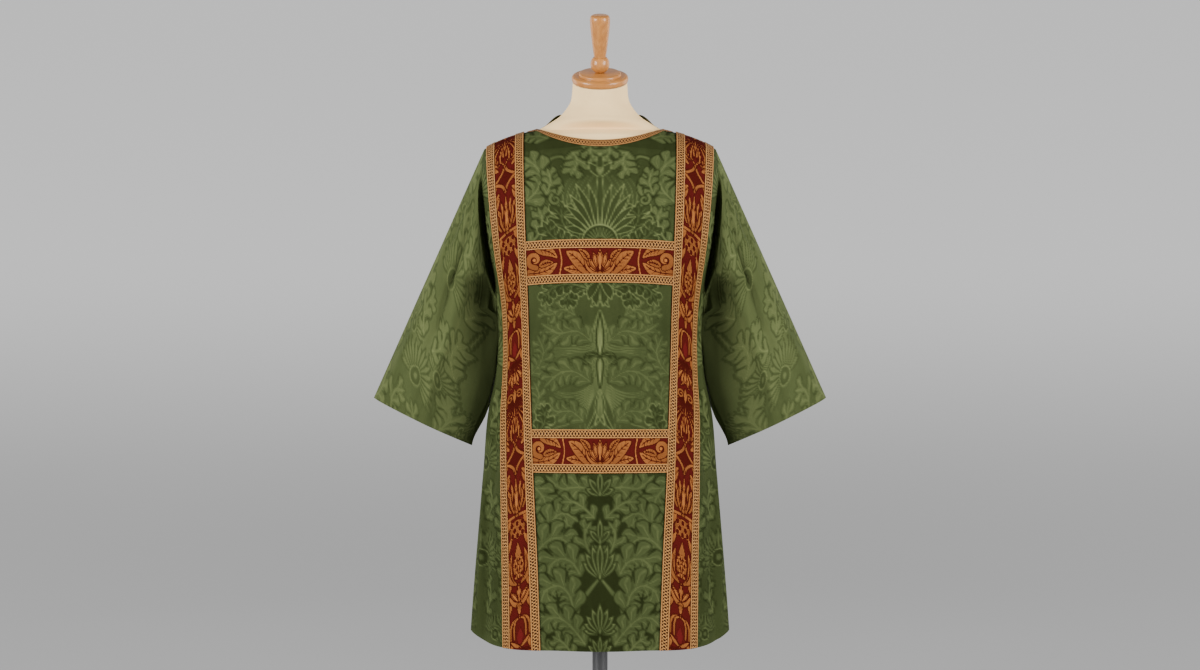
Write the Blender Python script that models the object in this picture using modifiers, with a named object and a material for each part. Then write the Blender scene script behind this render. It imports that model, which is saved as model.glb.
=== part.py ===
"""A dalmatic of green silk damask on a limbless dress form. Metres, +Z up, front towards -Y.

The body is one surface: sections hung from a shoulder line. Front and back panels, each of a centre width and
two side widths, orphreys, apparels and braids are all cut from its grid, each layer moved out from the one below. The sleeves are lofts from the
armhole to the cuff. The origin is on the floor, at the centre of the stand's base.
"""
import math

import bpy
import numpy as np
from mathutils import Vector

COLLECTION = "dalmatic_on_dress_form"

# Cloth
CLOTH = 0.0016           # panel and sleeve wall
BAND = 0.0012            # orphrey and apparel
BRAID = 0.0010           # galloon
GAP = 0.0003             # between touching pieces and across a seam
WIDTH_GAP = 0.00045      # between the widths of silk, whose edges twist over the shoulder
BRAID_WIDTH = 0.018
ORPHREY_WIDTH = 0.080
FIELD_COLUMNS = 2        # grid columns of an orphrey between its two braids

# Neck and shoulders
NECK_HALF = 0.134        # half the width of the neck opening, along the shoulder seam
NECK_Z = 1.4505          # where the neck opening meets the shoulder seam
NECK_DROP = 0.032        # of the front neckline below that
NECK_RISE = 0.038        # of the back neckline above that
NECK_FRONT = 0.100       # how far the neckline stands forward of the shoulder seam
NECK_BACK = 0.072
NECK_SLOPE = {-1: math.radians(40), 1: math.radians(62)}  # of the cloth at the neckline's middle
SHOULDER_SLOPE = 0.25
SHOULDER_CURVE = 10.5    # the shoulder falls away with the cube of the distance from the neck
ORPHREY_TOP_X = 0.1585   # inner edge of an orphrey at the shoulder seam
SHOULDER_TIP_X = 0.2425
SEAM_SPARE = 0.006       # an orphrey's path along the shoulder seam is this much longer than its width
NECK_LEVEL = 0.38        # share of the neck opening, from its ends, over which the back neckline rises
CAP_PULL = 0.55          # how long the cloth keeps its direction at both ends of the way over the shoulder

# Heights on the body
APPAREL_TOPS = (1.2136, 0.8304)
APPAREL_HEIGHT = 0.088
UNDERARM_Z = 1.0788
ARMHOLE_DEPTH = 0.060    # half the armhole's width from front to back, at the upper apparel's top
HEM_Z = 0.386
CAP_ROWS = 7             # grid rows from the neckline down to the upper apparel
CAP_SPREAD = 1.6         # they lie closer together over the shoulder

# The body's horizontal sections. Depths are from the shoulder seam's plane, inner_x is an orphrey's inner
# edge. droop is how far the cloth's cross grain falls at the side seam, and turn is how late it does so: a
# power of the way across.
SECTION_COLUMNS = ("height", "half_width", "front", "back", "squareness", "inner_x", "droop", "turn")
SECTIONS = (
    (1.2136, 0.2450, 0.150, 0.135, 2.50, 0.1500, 0.014, 2.5),
    (1.0800, 0.2160, 0.155, 0.145, 2.00, 0.1450, 0.012, 2.5),
    (0.9500, 0.2185, 0.158, 0.151, 2.00, 0.1415, 0.010, 2.5),
    (0.8650, 0.2345, 0.161, 0.156, 2.15, 0.1385, 0.008, 3.0),
    (0.7400, 0.2430, 0.166, 0.162, 2.35, 0.1340, 0.002, 4.0),
    (0.5600, 0.2535, 0.171, 0.170, 2.50, 0.1255, -0.010, 6.0),
    (0.3860, 0.2640, 0.175, 0.177, 2.60, 0.1194, -0.020, 8.0),
)

# Hanging folds of the body, the same on both halves, as place, width, out and top. place and width are shares
# of the way from the middle to the side seam, out is the fold's height at the hem, and top is the height at
# which it dies out.
FRONT_FOLDS = (
    (0.00, 0.16, 0.004, 0.80),
    (0.24, 0.11, -0.005, 0.74),
    (0.47, 0.10, 0.004, 0.78),
    (0.73, 0.08, -0.006, 1.00),
    (0.88, 0.07, 0.007, 0.95),
)
BACK_FOLDS = (
    (0.00, 0.14, -0.006, 0.95),
    (0.22, 0.12, 0.008, 1.05),
    (0.45, 0.10, -0.008, 1.00),
    (0.66, 0.09, 0.009, 1.05),
    (0.85, 0.08, -0.008, 1.00),
)
FOLDS_END = 0.08                # share of the way over which they flatten out at the side seam

# Sleeves
CUFF_OUTER = (0.4725, 0.8898)   # x and z of the cuff's outer and inner corners
CUFF_INNER = (0.2677, 0.7890)
CUFF_HALF_DEPTH = 0.058
CUFF_Y = -0.012
CUFF_SQUARENESS = 2.3
SLEEVE_ROWS = 10
SLEEVE_SWELL = 0.020            # how far the sleeve's front and back belly out half way down
SLEEVE_HUG = 0.003              # clear of the body's side, down to where the sleeve parts from it
SLEEVE_HUG_WIDTH = 0.15          # share of the way round the sleeve over which it lies on the body
SLEEVE_HUG_START = 0.040         # how far below the underarm it comes to do so
SLEEVE_PARTS_Z = 0.885
SLEEVE_PARTS_OVER = 0.096
SEAM_TURN = 0.35                # share of the way round over which the armhole seam turns to stand off the panel
SEAM_FLAT = (0.30, 0.42)        # and those over which the sleeve's wall takes the panel's direction at the seam
# Soft troughs along the sleeve, as place, width and deep. place and width are shares of the way round from the
# underarm seam, over the front.
TROUGH_BIAS = 0.8               # they are deepest a little above the middle
TROUGHS = ((0.17, 0.035, 0.006), (0.34, 0.045, 0.004), (0.64, 0.045, 0.005), (0.82, 0.040, 0.006))

# Dress form and stand
FORM_CLEAR = 0.0010             # of the cloth, where the cloth lies on the shoulders
FORM_SIDES = 26
FORM_BOTTOM_Z = 0.715
FORM_RING_COLUMNS = ("height", "half_width", "front", "back", "squareness", "centre_y", "lean")
FORM_LOWER = (
    (0.7150, 0.140, 0.082, 0.082, 2.2, 0.000, 0.0),
    (0.7230, 0.156, 0.096, 0.096, 2.2, 0.000, 0.0),
    (0.7450, 0.164, 0.104, 0.104, 2.2, 0.000, 0.0),
    (0.8600, 0.170, 0.108, 0.110, 2.2, 0.000, 0.0),
    (0.9800, 0.156, 0.100, 0.094, 2.2, 0.000, 0.0),
    (1.0700, 0.152, 0.104, 0.088, 2.2, 0.000, 0.0),
    (1.1600, 0.166, 0.120, 0.100, 2.2, 0.000, 0.0),
    (1.2400, 0.178, 0.128, 0.106, 2.2, 0.000, 0.0),
    (1.3100, 0.188, 0.122, 0.102, 2.1, 0.000, 0.0),
    (1.3600, 0.195, 0.108, 0.094, 1.8, 0.000, 0.0),
    (1.3900, 0.198, 0.098, 0.087, 1.6, 0.000, 0.0),
)
FORM_SHOULDER_XS = (0.1960, 0.1860, 0.1720, 0.1585, 0.1460, 0.1340)
FORM_UPPER = (
    (1.4640, 0.106, 0.077, 0.066, 1.6, 0.000, 0.02),
    (1.4780, 0.085, 0.071, 0.063, 1.8, -0.001, 0.06),
    (1.4950, 0.070, 0.064, 0.060, 2.0, -0.003, 0.14),
    (1.5140, 0.060, 0.058, 0.057, 2.0, -0.007, 0.27),
    (1.5487, 0.0567, 0.0567, 0.0567, 2.0, -0.0149, 0.4189),
)
FORM_SHOULDER_FRONT = (0.086, 0.060)   # depth of the form at its shoulder tip and where the neck opening ends
FORM_SHOULDER_BACK = (0.083, 0.070)
FORM_SHOULDER_SQUARENESS = 1.45

NECK_TILT = math.radians(24)           # the neck is cut at a slope, so the cap leans forward
NECK_TOP = (0.0, -0.015, 1.549)
CAP_RADIUS = 0.059
CAP_HEIGHT = 0.014
STEP_RADIUS = 0.044
STEP_HEIGHT = 0.006
BALL_RADIUS = 0.0198
BALL_SEAT = 0.008                      # radius of the flat on which the ball sits
CAP_RIM = 0.005                        # how round the cap's edge is
STEP_RIM = 0.003
HANDLE_BOTTOM_RADIUS = 0.0122
HANDLE_TOP_RADIUS = 0.0208
HANDLE_TOP = 0.141                     # along the neck's axis, from the neck's top
HANDLE_BOTTOM = 0.052
HANDLE_SHOULDER = (0.0196, 0.111)      # radius and place where the handle's sides turn steeper
CROWN_HEIGHT = 0.010                   # of the handle's rounded top
CROWN_RIM = 0.004
HANDLE_REST = 6                        # degrees below the handle's foot at which the ball's side begins
TURNED_STEPS = 24

BASE_RADIUS = 0.170
BASE_HEIGHT = 0.026
BASE_EDGE = 0.008
SOCKET_RADIUS = 0.027
SOCKET_TOP = 0.046
SOCKET_RIM = 0.003
BASE_SLOPE = 0.006                     # how far the base's top falls from the socket to its edge
POLE_RADIUS = 0.0160

SHARP = math.radians(40)
COLOURS = {
    "damask": ((0.104, 0.120, 0.038), 0.55, 0.0),
    "brocade": ((0.190, 0.030, 0.014), 0.60, 0.0),
    "galloon": ((0.430, 0.240, 0.090), 0.45, 0.2),
    "jersey": ((0.760, 0.640, 0.500), 0.90, 0.0),
    "beech": ((0.560, 0.310, 0.125), 0.40, 0.0),
    "stand": ((0.050, 0.050, 0.052), 0.45, 0.0),
}

# Grid columns of half the body, numbered from the middle. The neck opening ends at the fifth.
NECK_BRAID_COLUMN = 6                   # reaches the end of the neck's braid on the shoulder
INNER_COLUMN = 7                        # an orphrey's inner edge
NECK_SHARES = (0.0, 0.215, 0.43, 0.62, 0.76, NECK_HALF / ORPHREY_TOP_X,
               (NECK_HALF + BRAID_WIDTH) / ORPHREY_TOP_X, 1.0)
INNER_BRAID_COLUMN = INNER_COLUMN + 1
OUTER_BRAID_COLUMN = INNER_BRAID_COLUMN + FIELD_COLUMNS
OUTER_COLUMN = OUTER_BRAID_COLUMN + 1
EDGE_COLUMN = OUTER_COLUMN + 3
SEAM_COLUMN = INNER_BRAID_COLUMN + 1    # the body's centre and side widths are joined here, under an orphrey
SEAM_SHIFT = WIDTH_GAP / 2 / ((ORPHREY_WIDTH - 2 * BRAID_WIDTH) / FIELD_COLUMNS)
SEAM_SAMPLES = 400
CAP_SAMPLES = 60
STEP = 1e-3                             # metres or grid cells, for a surface's slope


def row_heights():
    """Heights of the grid's level rows, from the upper apparel's top to the hem, and named row numbers."""
    heights = [APPAREL_TOPS[0]]
    named = {}

    def add_apparel(name):
        named[name] = CAP_ROWS + len(heights) - 1
        top = heights[-1]
        for fall in (BRAID_WIDTH, APPAREL_HEIGHT / 2, APPAREL_HEIGHT - BRAID_WIDTH, APPAREL_HEIGHT):
            heights.append(top - fall)

    add_apparel("upper")
    heights.append(UNDERARM_Z)
    named["underarm"] = CAP_ROWS + len(heights) - 1
    heights.extend(np.linspace(UNDERARM_Z, APPAREL_TOPS[1], 5)[1:])
    add_apparel("lower")
    heights.extend(np.linspace(heights[-1], HEM_Z, 6)[1:])
    named["hem"] = CAP_ROWS + len(heights) - 1
    return np.array(heights), named


ROW_HEIGHTS, ROWS = row_heights()


def through(table, columns, name, height):
    """A smooth curve through one column of a table whose first column is a falling height."""
    heights = np.array([row[0] for row in table])[::-1]
    values = np.array([row[columns.index(name)] for row in table])[::-1]
    slopes = np.gradient(values, heights)
    k = int(np.clip(np.searchsorted(heights, height) - 1, 0, len(heights) - 2))
    span = heights[k + 1] - heights[k]
    t = (height - heights[k]) / span
    return ((2 * t ** 3 - 3 * t ** 2 + 1) * values[k] + (t ** 3 - 2 * t ** 2 + t) * span * slopes[k]
            + (3 * t ** 2 - 2 * t ** 3) * values[k + 1] + (t ** 3 - t ** 2) * span * slopes[k + 1])


def body_size(name, height):
    return through(SECTIONS, SECTION_COLUMNS, name, height)


def smooth(t):
    t = np.clip(t, 0.0, 1.0)
    return t * t * (3 - 2 * t)


def shoulder_height(x):
    """Height of the shoulder seam at x, outside the neck opening."""
    away = np.abs(x) - NECK_HALF
    return NECK_Z - SHOULDER_SLOPE * away - SHOULDER_CURVE * np.maximum(away, 0.0) ** 3


def fold_height(side, share, height):
    """How far the body's folds stand out, at a share of the way from the middle to the side seam."""
    total = np.zeros_like(share)
    for place, width, out, top in FRONT_FOLDS if side < 0 else BACK_FOLDS:
        grows = smooth((top - height) / (top - HEM_Z))
        total += out * grows * np.exp(-((share - place) / width) ** 2)
    return total * smooth((1.0 - share) / FOLDS_END)


def section(side, height):
    """Half a body section at a height: its points from the middle to the side, and the distance along it."""
    half_width = body_size("half_width", height)
    depth = body_size("front" if side < 0 else "back", height)
    power = 2.0 / body_size("squareness", height)
    angle = np.linspace(0.0, math.pi / 2, SEAM_SAMPLES)
    x = half_width * np.sin(angle) ** power
    y = depth * np.clip(np.cos(angle), 0.0, 1.0) ** power
    y[-1] = 0.0
    tangent = np.gradient(np.stack([x, y], 1), axis=0)
    tangent /= np.linalg.norm(tangent, axis=1)[:, None]
    along = np.concatenate([[0.0], np.cumsum(np.hypot(np.diff(x), np.diff(y)))])
    out = fold_height(side, along / along[-1], height)
    return x - out * tangent[:, 1], y + out * tangent[:, 0], along


def armhole_y(height):
    """Half the armhole's width from front to back, nothing below the underarm."""
    return ARMHOLE_DEPTH * math.sqrt(max(0.0, (height - UNDERARM_Z) / (APPAREL_TOPS[0] - UNDERARM_Z)))


def column_distance(columns, inner, edge, top_share):
    """Distance from the middle of each grid column, where an orphrey begins at inner and cloth ends at edge."""
    even = np.linspace(0.0, 1.0, INNER_COLUMN + 1)
    shares = (1 - top_share) * even + top_share * np.array(NECK_SHARES)
    field = np.linspace(BRAID_WIDTH, ORPHREY_WIDTH - BRAID_WIDTH, FIELD_COLUMNS + 1)
    band = inner + np.concatenate([field, [ORPHREY_WIDTH]])
    beyond = np.linspace(band[-1], edge, EDGE_COLUMN - OUTER_COLUMN + 1)[1:]
    stops = np.concatenate([shares * inner, band, beyond])
    return np.interp(columns, np.arange(EDGE_COLUMN + 1), stops)


def level_row(side, height, columns, top_share=0.0):
    """Points of the body at one nominal height, for grid columns of the half with x above zero."""
    x, y, along = section(side, height)
    inner = np.interp(body_size("inner_x", height), x, along)
    reach = armhole_y(height)
    edge = np.interp(-reach, -y, along) if reach > 0 else along[-1]
    distance = column_distance(columns, inner, edge, top_share)
    px = np.interp(distance, along, x)
    py = np.interp(distance, along, y)
    share = np.maximum(px, 0.0) / body_size("half_width", height)
    droop = body_size("droop", height) * share ** body_size("turn", height)
    return np.stack([px, side * py, height - droop], 1)


def top_edge(side, columns):
    """Neckline and shoulder seam, with the direction in which the cloth leaves them."""
    seam = ORPHREY_WIDTH + SEAM_SPARE
    ridge = (SHOULDER_TIP_X - ORPHREY_TOP_X) / seam
    stops = column_distance(np.arange(EDGE_COLUMN + 1.0), 1.0, 1.0, 1.0)[:INNER_COLUMN] * ORPHREY_TOP_X
    band = column_distance(np.arange(EDGE_COLUMN + 1.0), 0.0, seam, 1.0)[INNER_COLUMN:]
    x = np.interp(columns, np.arange(EDGE_COLUMN + 1), np.concatenate([stops, ORPHREY_TOP_X + ridge * band]))
    inside = np.sqrt(np.clip(1 - (x / NECK_HALF) ** 2, 0.0, 1.0))
    if side < 0:
        neck_z = NECK_Z - NECK_DROP * inside ** 2
        y = -NECK_FRONT * inside
    else:
        neck_z = NECK_Z + NECK_RISE * smooth((1 - x / NECK_HALF) / NECK_LEVEL)
        y = NECK_BACK * inside
    z = np.where(x < NECK_HALF, neck_z, shoulder_height(x))
    falls = NECK_SLOPE[side] * inside
    leaves = np.stack([np.zeros_like(x), side * np.cos(falls), -np.sin(falls)], 1)
    return np.stack([x, y + side * GAP / 2, z], 1), leaves


def cap_row(side, row, columns):
    """Points of the body above the upper apparel, on curves from the top edge down to its level row."""
    top, leaves = top_edge(side, columns)
    share = float(smooth(1 - row / CAP_ROWS))
    foot = level_row(side, APPAREL_TOPS[0], columns, share)
    below = level_row(side, APPAREL_TOPS[0] - STEP, columns, share) - foot
    below /= np.linalg.norm(below, axis=1)[:, None]
    out = CAP_PULL * np.abs(foot[:, 1] - top[:, 1])[:, None]
    down = CAP_PULL * (top[:, 2] - foot[:, 2])[:, None]
    t = np.linspace(0.0, 1.0, CAP_SAMPLES)[:, None, None]
    handles = (top, top + leaves * out, foot - below * down, foot)
    weights = ((1 - t) ** 3, 3 * t * (1 - t) ** 2, 3 * t * t * (1 - t), t ** 3)
    curve = sum(weight * handle[None] for weight, handle in zip(weights, handles))
    lengths = np.linalg.norm(np.diff(curve, axis=0), axis=2)
    along = np.concatenate([np.zeros((1, len(columns))), np.cumsum(lengths, axis=0)])
    first = min(row, 1.0)
    later = (max(row - 1.0, 0.0) / (CAP_ROWS - 1)) ** CAP_SPREAD
    points = np.empty((len(columns), 3))
    for i in range(len(columns)):
        full = along[-1, i]
        distance = first * BRAID_WIDTH + later * (full - BRAID_WIDTH)
        points[i] = [np.interp(distance, along[:, i], curve[:, i, axis]) for axis in range(3)]
    return points


def body_row(side, row, columns):
    """Points of the body's outer surface at a grid row, for columns that run from -EDGE to +EDGE."""
    columns = np.asarray(columns, float)
    half = np.minimum(np.abs(columns), EDGE_COLUMN)
    if row < CAP_ROWS:
        points = cap_row(side, max(row, 0.0), half)
    else:
        height = np.interp(row - CAP_ROWS, np.arange(len(ROW_HEIGHTS)), ROW_HEIGHTS)
        points = level_row(side, float(height), half)
    points[:, 0] *= np.where(columns < 0, -1.0, 1.0)
    return points


def unit(vectors):
    return vectors / np.linalg.norm(vectors, axis=-1)[..., None]


def body_grid(side, rows, columns):
    """Outer points and outward directions of the body at grid rows and columns."""
    columns = np.asarray(columns, float)
    points = np.array([body_row(side, row, columns) for row in rows])
    right = np.minimum(columns + STEP, EDGE_COLUMN)
    left = np.maximum(columns - STEP, -EDGE_COLUMN)
    normals = []
    for row in rows:
        across = body_row(side, row, right) - body_row(side, row, left)
        low, high = min(row + STEP, ROWS["hem"]), max(row - STEP, 0.0)
        down = body_row(side, low, columns) - body_row(side, high, columns)
        normals.append(np.cross(across, down) * side)
    normals = unit(np.array(normals))
    seam = (np.abs(np.abs(columns) - EDGE_COLUMN) < 1e-6)[None, :] & (np.array(rows) >= ROWS["underarm"])[:, None]
    normals[seam] = np.sign(points[seam][:, :1]) * np.array([1.0, 0.0, 0.0])
    points[seam] += np.array([0.0, side * GAP / 2, 0.0])
    return points, normals


def add_mesh(name, vertices, faces, colour):
    mesh = bpy.data.meshes.new(name)
    mesh.from_pydata([tuple(v) for v in vertices], [], faces)
    mesh.validate()
    mesh.shade_smooth()
    mesh.set_sharp_from_angle(angle=SHARP)
    mesh.materials.append(material(colour))
    thing = bpy.data.objects.new(name, mesh)
    collection().objects.link(thing)
    return thing


def wall(name, outer, inner, colour, flip=False, closed=False, mirrored=0):
    """A closed wall between two grids of points. closed joins the last column to the first.

    The cells of the first mirrored columns are split along the other diagonal.
    """
    rows, columns = outer.shape[:2]
    vertices = list(outer.reshape(-1, 3)) + list(inner.reshape(-1, 3))
    back = rows * columns

    def at(row, column):
        return row * columns + column % columns

    triangles = []
    for row in range(rows - 1):
        for column in range(columns if closed else columns - 1):
            a, b = at(row, column), at(row, column + 1)
            c, d = at(row + 1, column + 1), at(row + 1, column)
            if column < mirrored:
                triangles += [(a, c, b), (a, d, c)]
            else:
                triangles += [(a, d, b), (b, d, c)]
    return add_shell(name, vertices, triangles, back, colour, flip)


def add_shell(name, vertices, triangles, back, colour, flip):
    """Closes a sheet of triangles with its copy, back vertices further on, and the strips round its edges."""
    edges = set()
    for a, b, c in triangles:
        edges.update([(a, b), (b, c), (c, a)])
    faces = list(triangles)
    faces += [(c + back, b + back, a + back) for a, b, c in triangles]
    for a, b in sorted(edges):
        if (b, a) not in edges:
            faces += [(b, a, a + back), (b, a + back, b + back)]
    if flip:
        faces = [face[::-1] for face in faces]
    used = sorted({index for face in faces for index in face})
    number = {index: i for i, index in enumerate(used)}
    return add_mesh(name, [vertices[i] for i in used], [tuple(number[i] for i in face) for face in faces], colour)


def layer(name, side, rows, columns, low, high, colour):
    """A piece cut from the body's grid, between two distances out from the panel's outer face."""
    points, normals = body_grid(side, rows, columns)
    mirrored = sum(1 for column in columns[:-1] if column < 0)
    wall(name, points + normals * high, points + normals * low, colour, flip=side > 0, mirrored=mirrored)


def side_name(side):
    return "front" if side < 0 else "back"


def add_panels(side):
    """The silk is narrower than the body, so each side has a centre width and two side widths."""
    rows = range(ROWS["hem"] + 1)
    inner, outer = SEAM_COLUMN - SEAM_SHIFT, SEAM_COLUMN + SEAM_SHIFT
    centre = np.concatenate([[-inner], np.arange(1 - SEAM_COLUMN, SEAM_COLUMN), [inner]])
    beyond = np.concatenate([[outer], np.arange(SEAM_COLUMN + 1, EDGE_COLUMN + 1)])
    widths = {"centre": centre, "left": -beyond[::-1], "right": beyond}
    for place, columns in widths.items():
        layer(f"{side_name(side)}_panel_{place}", side, rows, columns, -CLOTH, 0.0, "damask")


def add_orphreys(side):
    """Two upright bands from shoulder to hem, each edged with two braids."""
    rows = range(ROWS["hem"] + 1)
    field = np.arange(INNER_COLUMN, OUTER_COLUMN + 1)
    braids = {
        "inner": np.array([INNER_COLUMN, INNER_BRAID_COLUMN]),
        "outer": np.array([OUTER_BRAID_COLUMN, OUTER_COLUMN]),
    }
    for hand, sign in (("left", -1), ("right", 1)):
        name = f"orphrey_{side_name(side)}_{hand}"
        layer(name, side, rows, np.sort(sign * field), GAP, GAP + BAND, "brocade")
        low = 2 * GAP + BAND
        for place, columns in braids.items():
            layer(f"{name}_{place}_braid", side, rows, np.sort(sign * columns), low, low + BRAID, "galloon")


def add_apparels(side):
    """Two cross bands between the orphreys, each edged with two braids."""
    ends = INNER_COLUMN - GAP / (ORPHREY_TOP_X / INNER_COLUMN)
    columns = np.concatenate([[-ends], np.arange(-INNER_COLUMN + 1, INNER_COLUMN), [ends]])
    for place in ("upper", "lower"):
        first = ROWS[place]
        name = f"apparel_{side_name(side)}_{place}"
        layer(name, side, range(first, first + 5), columns, GAP, GAP + BAND, "brocade")
        low = 2 * GAP + BAND
        layer(f"{name}_top_braid", side, (first, first + 1), columns, low, low + BRAID, "galloon")
        layer(f"{name}_bottom_braid", side, (first + 3, first + 4), columns, low, low + BRAID, "galloon")


def add_neck_braid(side):
    """Braid round one half of the neck opening. Its ends come to the shoulder seam in a triangle each."""
    rows = (0, 1)
    columns = np.arange(-NECK_BRAID_COLUMN, NECK_BRAID_COLUMN + 1)
    points, normals = body_grid(side, rows, columns)
    outer = points + normals * (GAP + BRAID)
    inner = points + normals * GAP
    count = len(columns)
    vertices = list(outer.reshape(-1, 3)) + list(inner.reshape(-1, 3))
    triangles = []
    for column in range(1, count - 2):
        a, b, c, d = column, column + 1, count + column + 1, count + column
        if columns[column] < 0:
            triangles += [(a, c, b), (a, d, c)]
        else:
            triangles += [(a, d, b), (b, d, c)]
    triangles += [(0, count + 1, 1), (count - 2, 2 * count - 2, count - 1)]
    add_shell(f"neck_braid_{side_name(side)}", vertices, triangles, 2 * count, "galloon", side > 0)


def armhole_edge():
    """The armhole from the underarm over the front to the shoulder's tip and down the back, at x above zero.

    Gives the panels' corner points, the direction out of the panel across the edge, and their normals.
    """
    rows = np.arange(ROWS["underarm"] + 1)
    halves = []
    for side in (-1, 1):
        points, normals = body_grid(side, rows, [EDGE_COLUMN - STEP, EDGE_COLUMN])
        halves.append((points[:, 1], unit(points[:, 1] - points[:, 0]), normals[:, 1]))
    front = [values[::-1] for values in halves[0]]
    back = [values[1:-1] for values in halves[1]]
    return [np.concatenate(pair) for pair in zip(front, back)], len(rows) - 1


def around_cuff(shares):
    """Points of the cuff at shares of the way round, from the inner corner over the front."""
    angle = np.linspace(0.0, math.pi, SEAM_SAMPLES)
    power = 2.0 / CUFF_SQUARENESS
    u = -np.sign(np.cos(angle)) * np.abs(np.cos(angle)) ** power
    v = np.abs(np.sin(angle)) ** power
    inner, outer = Vector(CUFF_INNER), Vector(CUFF_OUTER)
    middle, reach = (inner + outer) / 2, (outer - inner) / 2
    along = np.concatenate([[0.0], np.cumsum(np.hypot(np.diff(u) * reach.length, np.diff(v) * CUFF_HALF_DEPTH))])
    half = np.where(shares <= 0.5, shares, 1.0 - shares) * 2 * along[-1]
    across = np.interp(half, along, u)
    depth = np.interp(half, along, v) * np.where(shares <= 0.5, -1.0, 1.0) * CUFF_HALF_DEPTH
    return np.stack([middle.x + across * reach.x, CUFF_Y + depth, middle.y + across * reach.y], 1)


def body_side(y, z):
    """How far out the body reaches at these depths and heights."""
    reach = []
    for depth, height in zip(y, np.clip(z, HEM_Z, APPAREL_TOPS[0])):
        room = body_size("front" if depth < 0 else "back", height)
        power = body_size("squareness", height)
        share = min(abs(depth) / room, 1.0)
        reach.append(body_size("half_width", height) * (1 - share ** power) ** (1 / power))
    return np.array(reach)


def sleeve_grid():
    """Outer and inner points of the sleeve at x above zero, in rings from the armhole to the cuff."""
    (edge, across, normals), tip = armhole_edge()
    steps = np.linalg.norm(np.diff(np.vstack([edge, edge[:1]]), axis=0), axis=1)
    along = np.concatenate([[0.0], np.cumsum(steps)])
    front = along[: tip + 1] / along[tip] * 0.5
    back = 0.5 + (along[tip + 1:-1] - along[tip]) / (along[-1] - along[tip]) * 0.5
    shares = np.concatenate([front, back])
    cuff = around_cuff(shares)
    from_seam = np.minimum(shares, 1.0 - shares)
    turn = smooth(1.0 - from_seam / SEAM_TURN) * math.pi / 2
    start = edge + GAP * (np.cos(turn)[:, None] * across + np.sin(turn)[:, None] * normals)
    rings = []
    for ring in range(SLEEVE_ROWS + 1):
        share = ring / SLEEVE_ROWS
        points = start * (1 - share) + cuff * share
        belly = math.sin(math.pi * share) * SLEEVE_SWELL * np.sin(2 * math.pi * shares)
        points[:, 1] -= belly
        z = points[0, 2]
        parts = SLEEVE_HUG * smooth(share * SLEEVE_ROWS)
        parts += (CUFF_INNER[0] - body_size("half_width", CUFF_INNER[1])) * smooth(
            (SLEEVE_PARTS_Z - z) / SLEEVE_PARTS_OVER)
        if 0 < ring < SLEEVE_ROWS:
            near = np.exp(-(from_seam / SLEEVE_HUG_WIDTH) ** 4)
            near *= smooth((UNDERARM_Z - points[:, 2]) / SLEEVE_HUG_START)
            side_x = body_side(points[:, 1], points[:, 2]) + parts
            points[:, 0] += (side_x - points[:, 0]) * near
        rings.append(points)
    outer = np.array(rings)
    outward = sleeve_normals(outer)
    grows = np.sin(math.pi * np.linspace(0.0, 1.0, SLEEVE_ROWS + 1) ** TROUGH_BIAS)
    for place, width, deep in TROUGHS:
        outer -= outward * (deep * grows[:, None] * np.exp(-((shares - place) / width) ** 2))[..., None]
    outward = sleeve_normals(outer)
    over_shoulder = smooth((from_seam - SEAM_FLAT[0]) / (SEAM_FLAT[1] - SEAM_FLAT[0]))[:, None]
    outward[0] = unit(outward[0] * (1 - over_shoulder) + normals * over_shoulder)
    return outer, outer - outward * CLOTH


def sleeve_normals(rings):
    around = np.roll(rings, -1, axis=1) - np.roll(rings, 1, axis=1)
    down = np.gradient(rings, axis=0)
    return unit(np.cross(down, around))


def add_sleeves():
    outer, inner = sleeve_grid()
    for hand, sign in (("left", -1.0), ("right", 1.0)):
        mirror = np.array([sign, 1.0, 1.0])
        wall(f"sleeve_{hand}", outer * mirror, inner * mirror, "damask", flip=sign < 0, closed=True)


def form_rings():
    """The dress form's rings from the bottom up. The shoulder ones follow the cloth's shoulder seam."""
    rings = [dict(zip(FORM_RING_COLUMNS, row)) for row in FORM_LOWER]
    tip, neck = FORM_SHOULDER_XS[0], FORM_SHOULDER_XS[-1]
    for x in FORM_SHOULDER_XS:
        share = (tip - x) / (tip - neck)
        depths = [pair[0] + (pair[1] - pair[0]) * share for pair in (FORM_SHOULDER_FRONT, FORM_SHOULDER_BACK)]
        height = float(shoulder_height(x)) - CLOTH - FORM_CLEAR
        ring = (height, x, *depths, FORM_SHOULDER_SQUARENESS, 0.0, 0.0)
        rings.append(dict(zip(FORM_RING_COLUMNS, ring)))
    rings += [dict(zip(FORM_RING_COLUMNS, row)) for row in FORM_UPPER]
    return rings


def add_form():
    """The torso and neck, lofted through their rings and closed flat at both ends."""
    vertices = []
    rings = form_rings()
    for ring in rings:
        power = 2.0 / ring["squareness"]
        for i in range(FORM_SIDES):
            angle = 2 * math.pi * i / FORM_SIDES
            sine, cosine = math.sin(angle), math.cos(angle)
            x = ring["half_width"] * math.copysign(abs(cosine) ** power, cosine)
            depth = ring["back"] if sine > 0 else ring["front"]
            y = depth * math.copysign(abs(sine) ** power, sine)
            lean = ring["lean"]
            vertices.append((x, ring["centre_y"] + y * math.cos(lean), ring["height"] + y * math.sin(lean)))
    faces = []
    for k in range(len(rings) - 1):
        for i in range(FORM_SIDES):
            j = (i + 1) % FORM_SIDES
            low, high = k * FORM_SIDES, (k + 1) * FORM_SIDES
            faces.append((low + i, low + j, high + j, high + i))
    faces.append(tuple(range(FORM_SIDES))[::-1])
    faces.append(tuple(range((len(rings) - 1) * FORM_SIDES, len(rings) * FORM_SIDES)))
    add_mesh("dress_form_torso", vertices, faces, "jersey")


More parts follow.
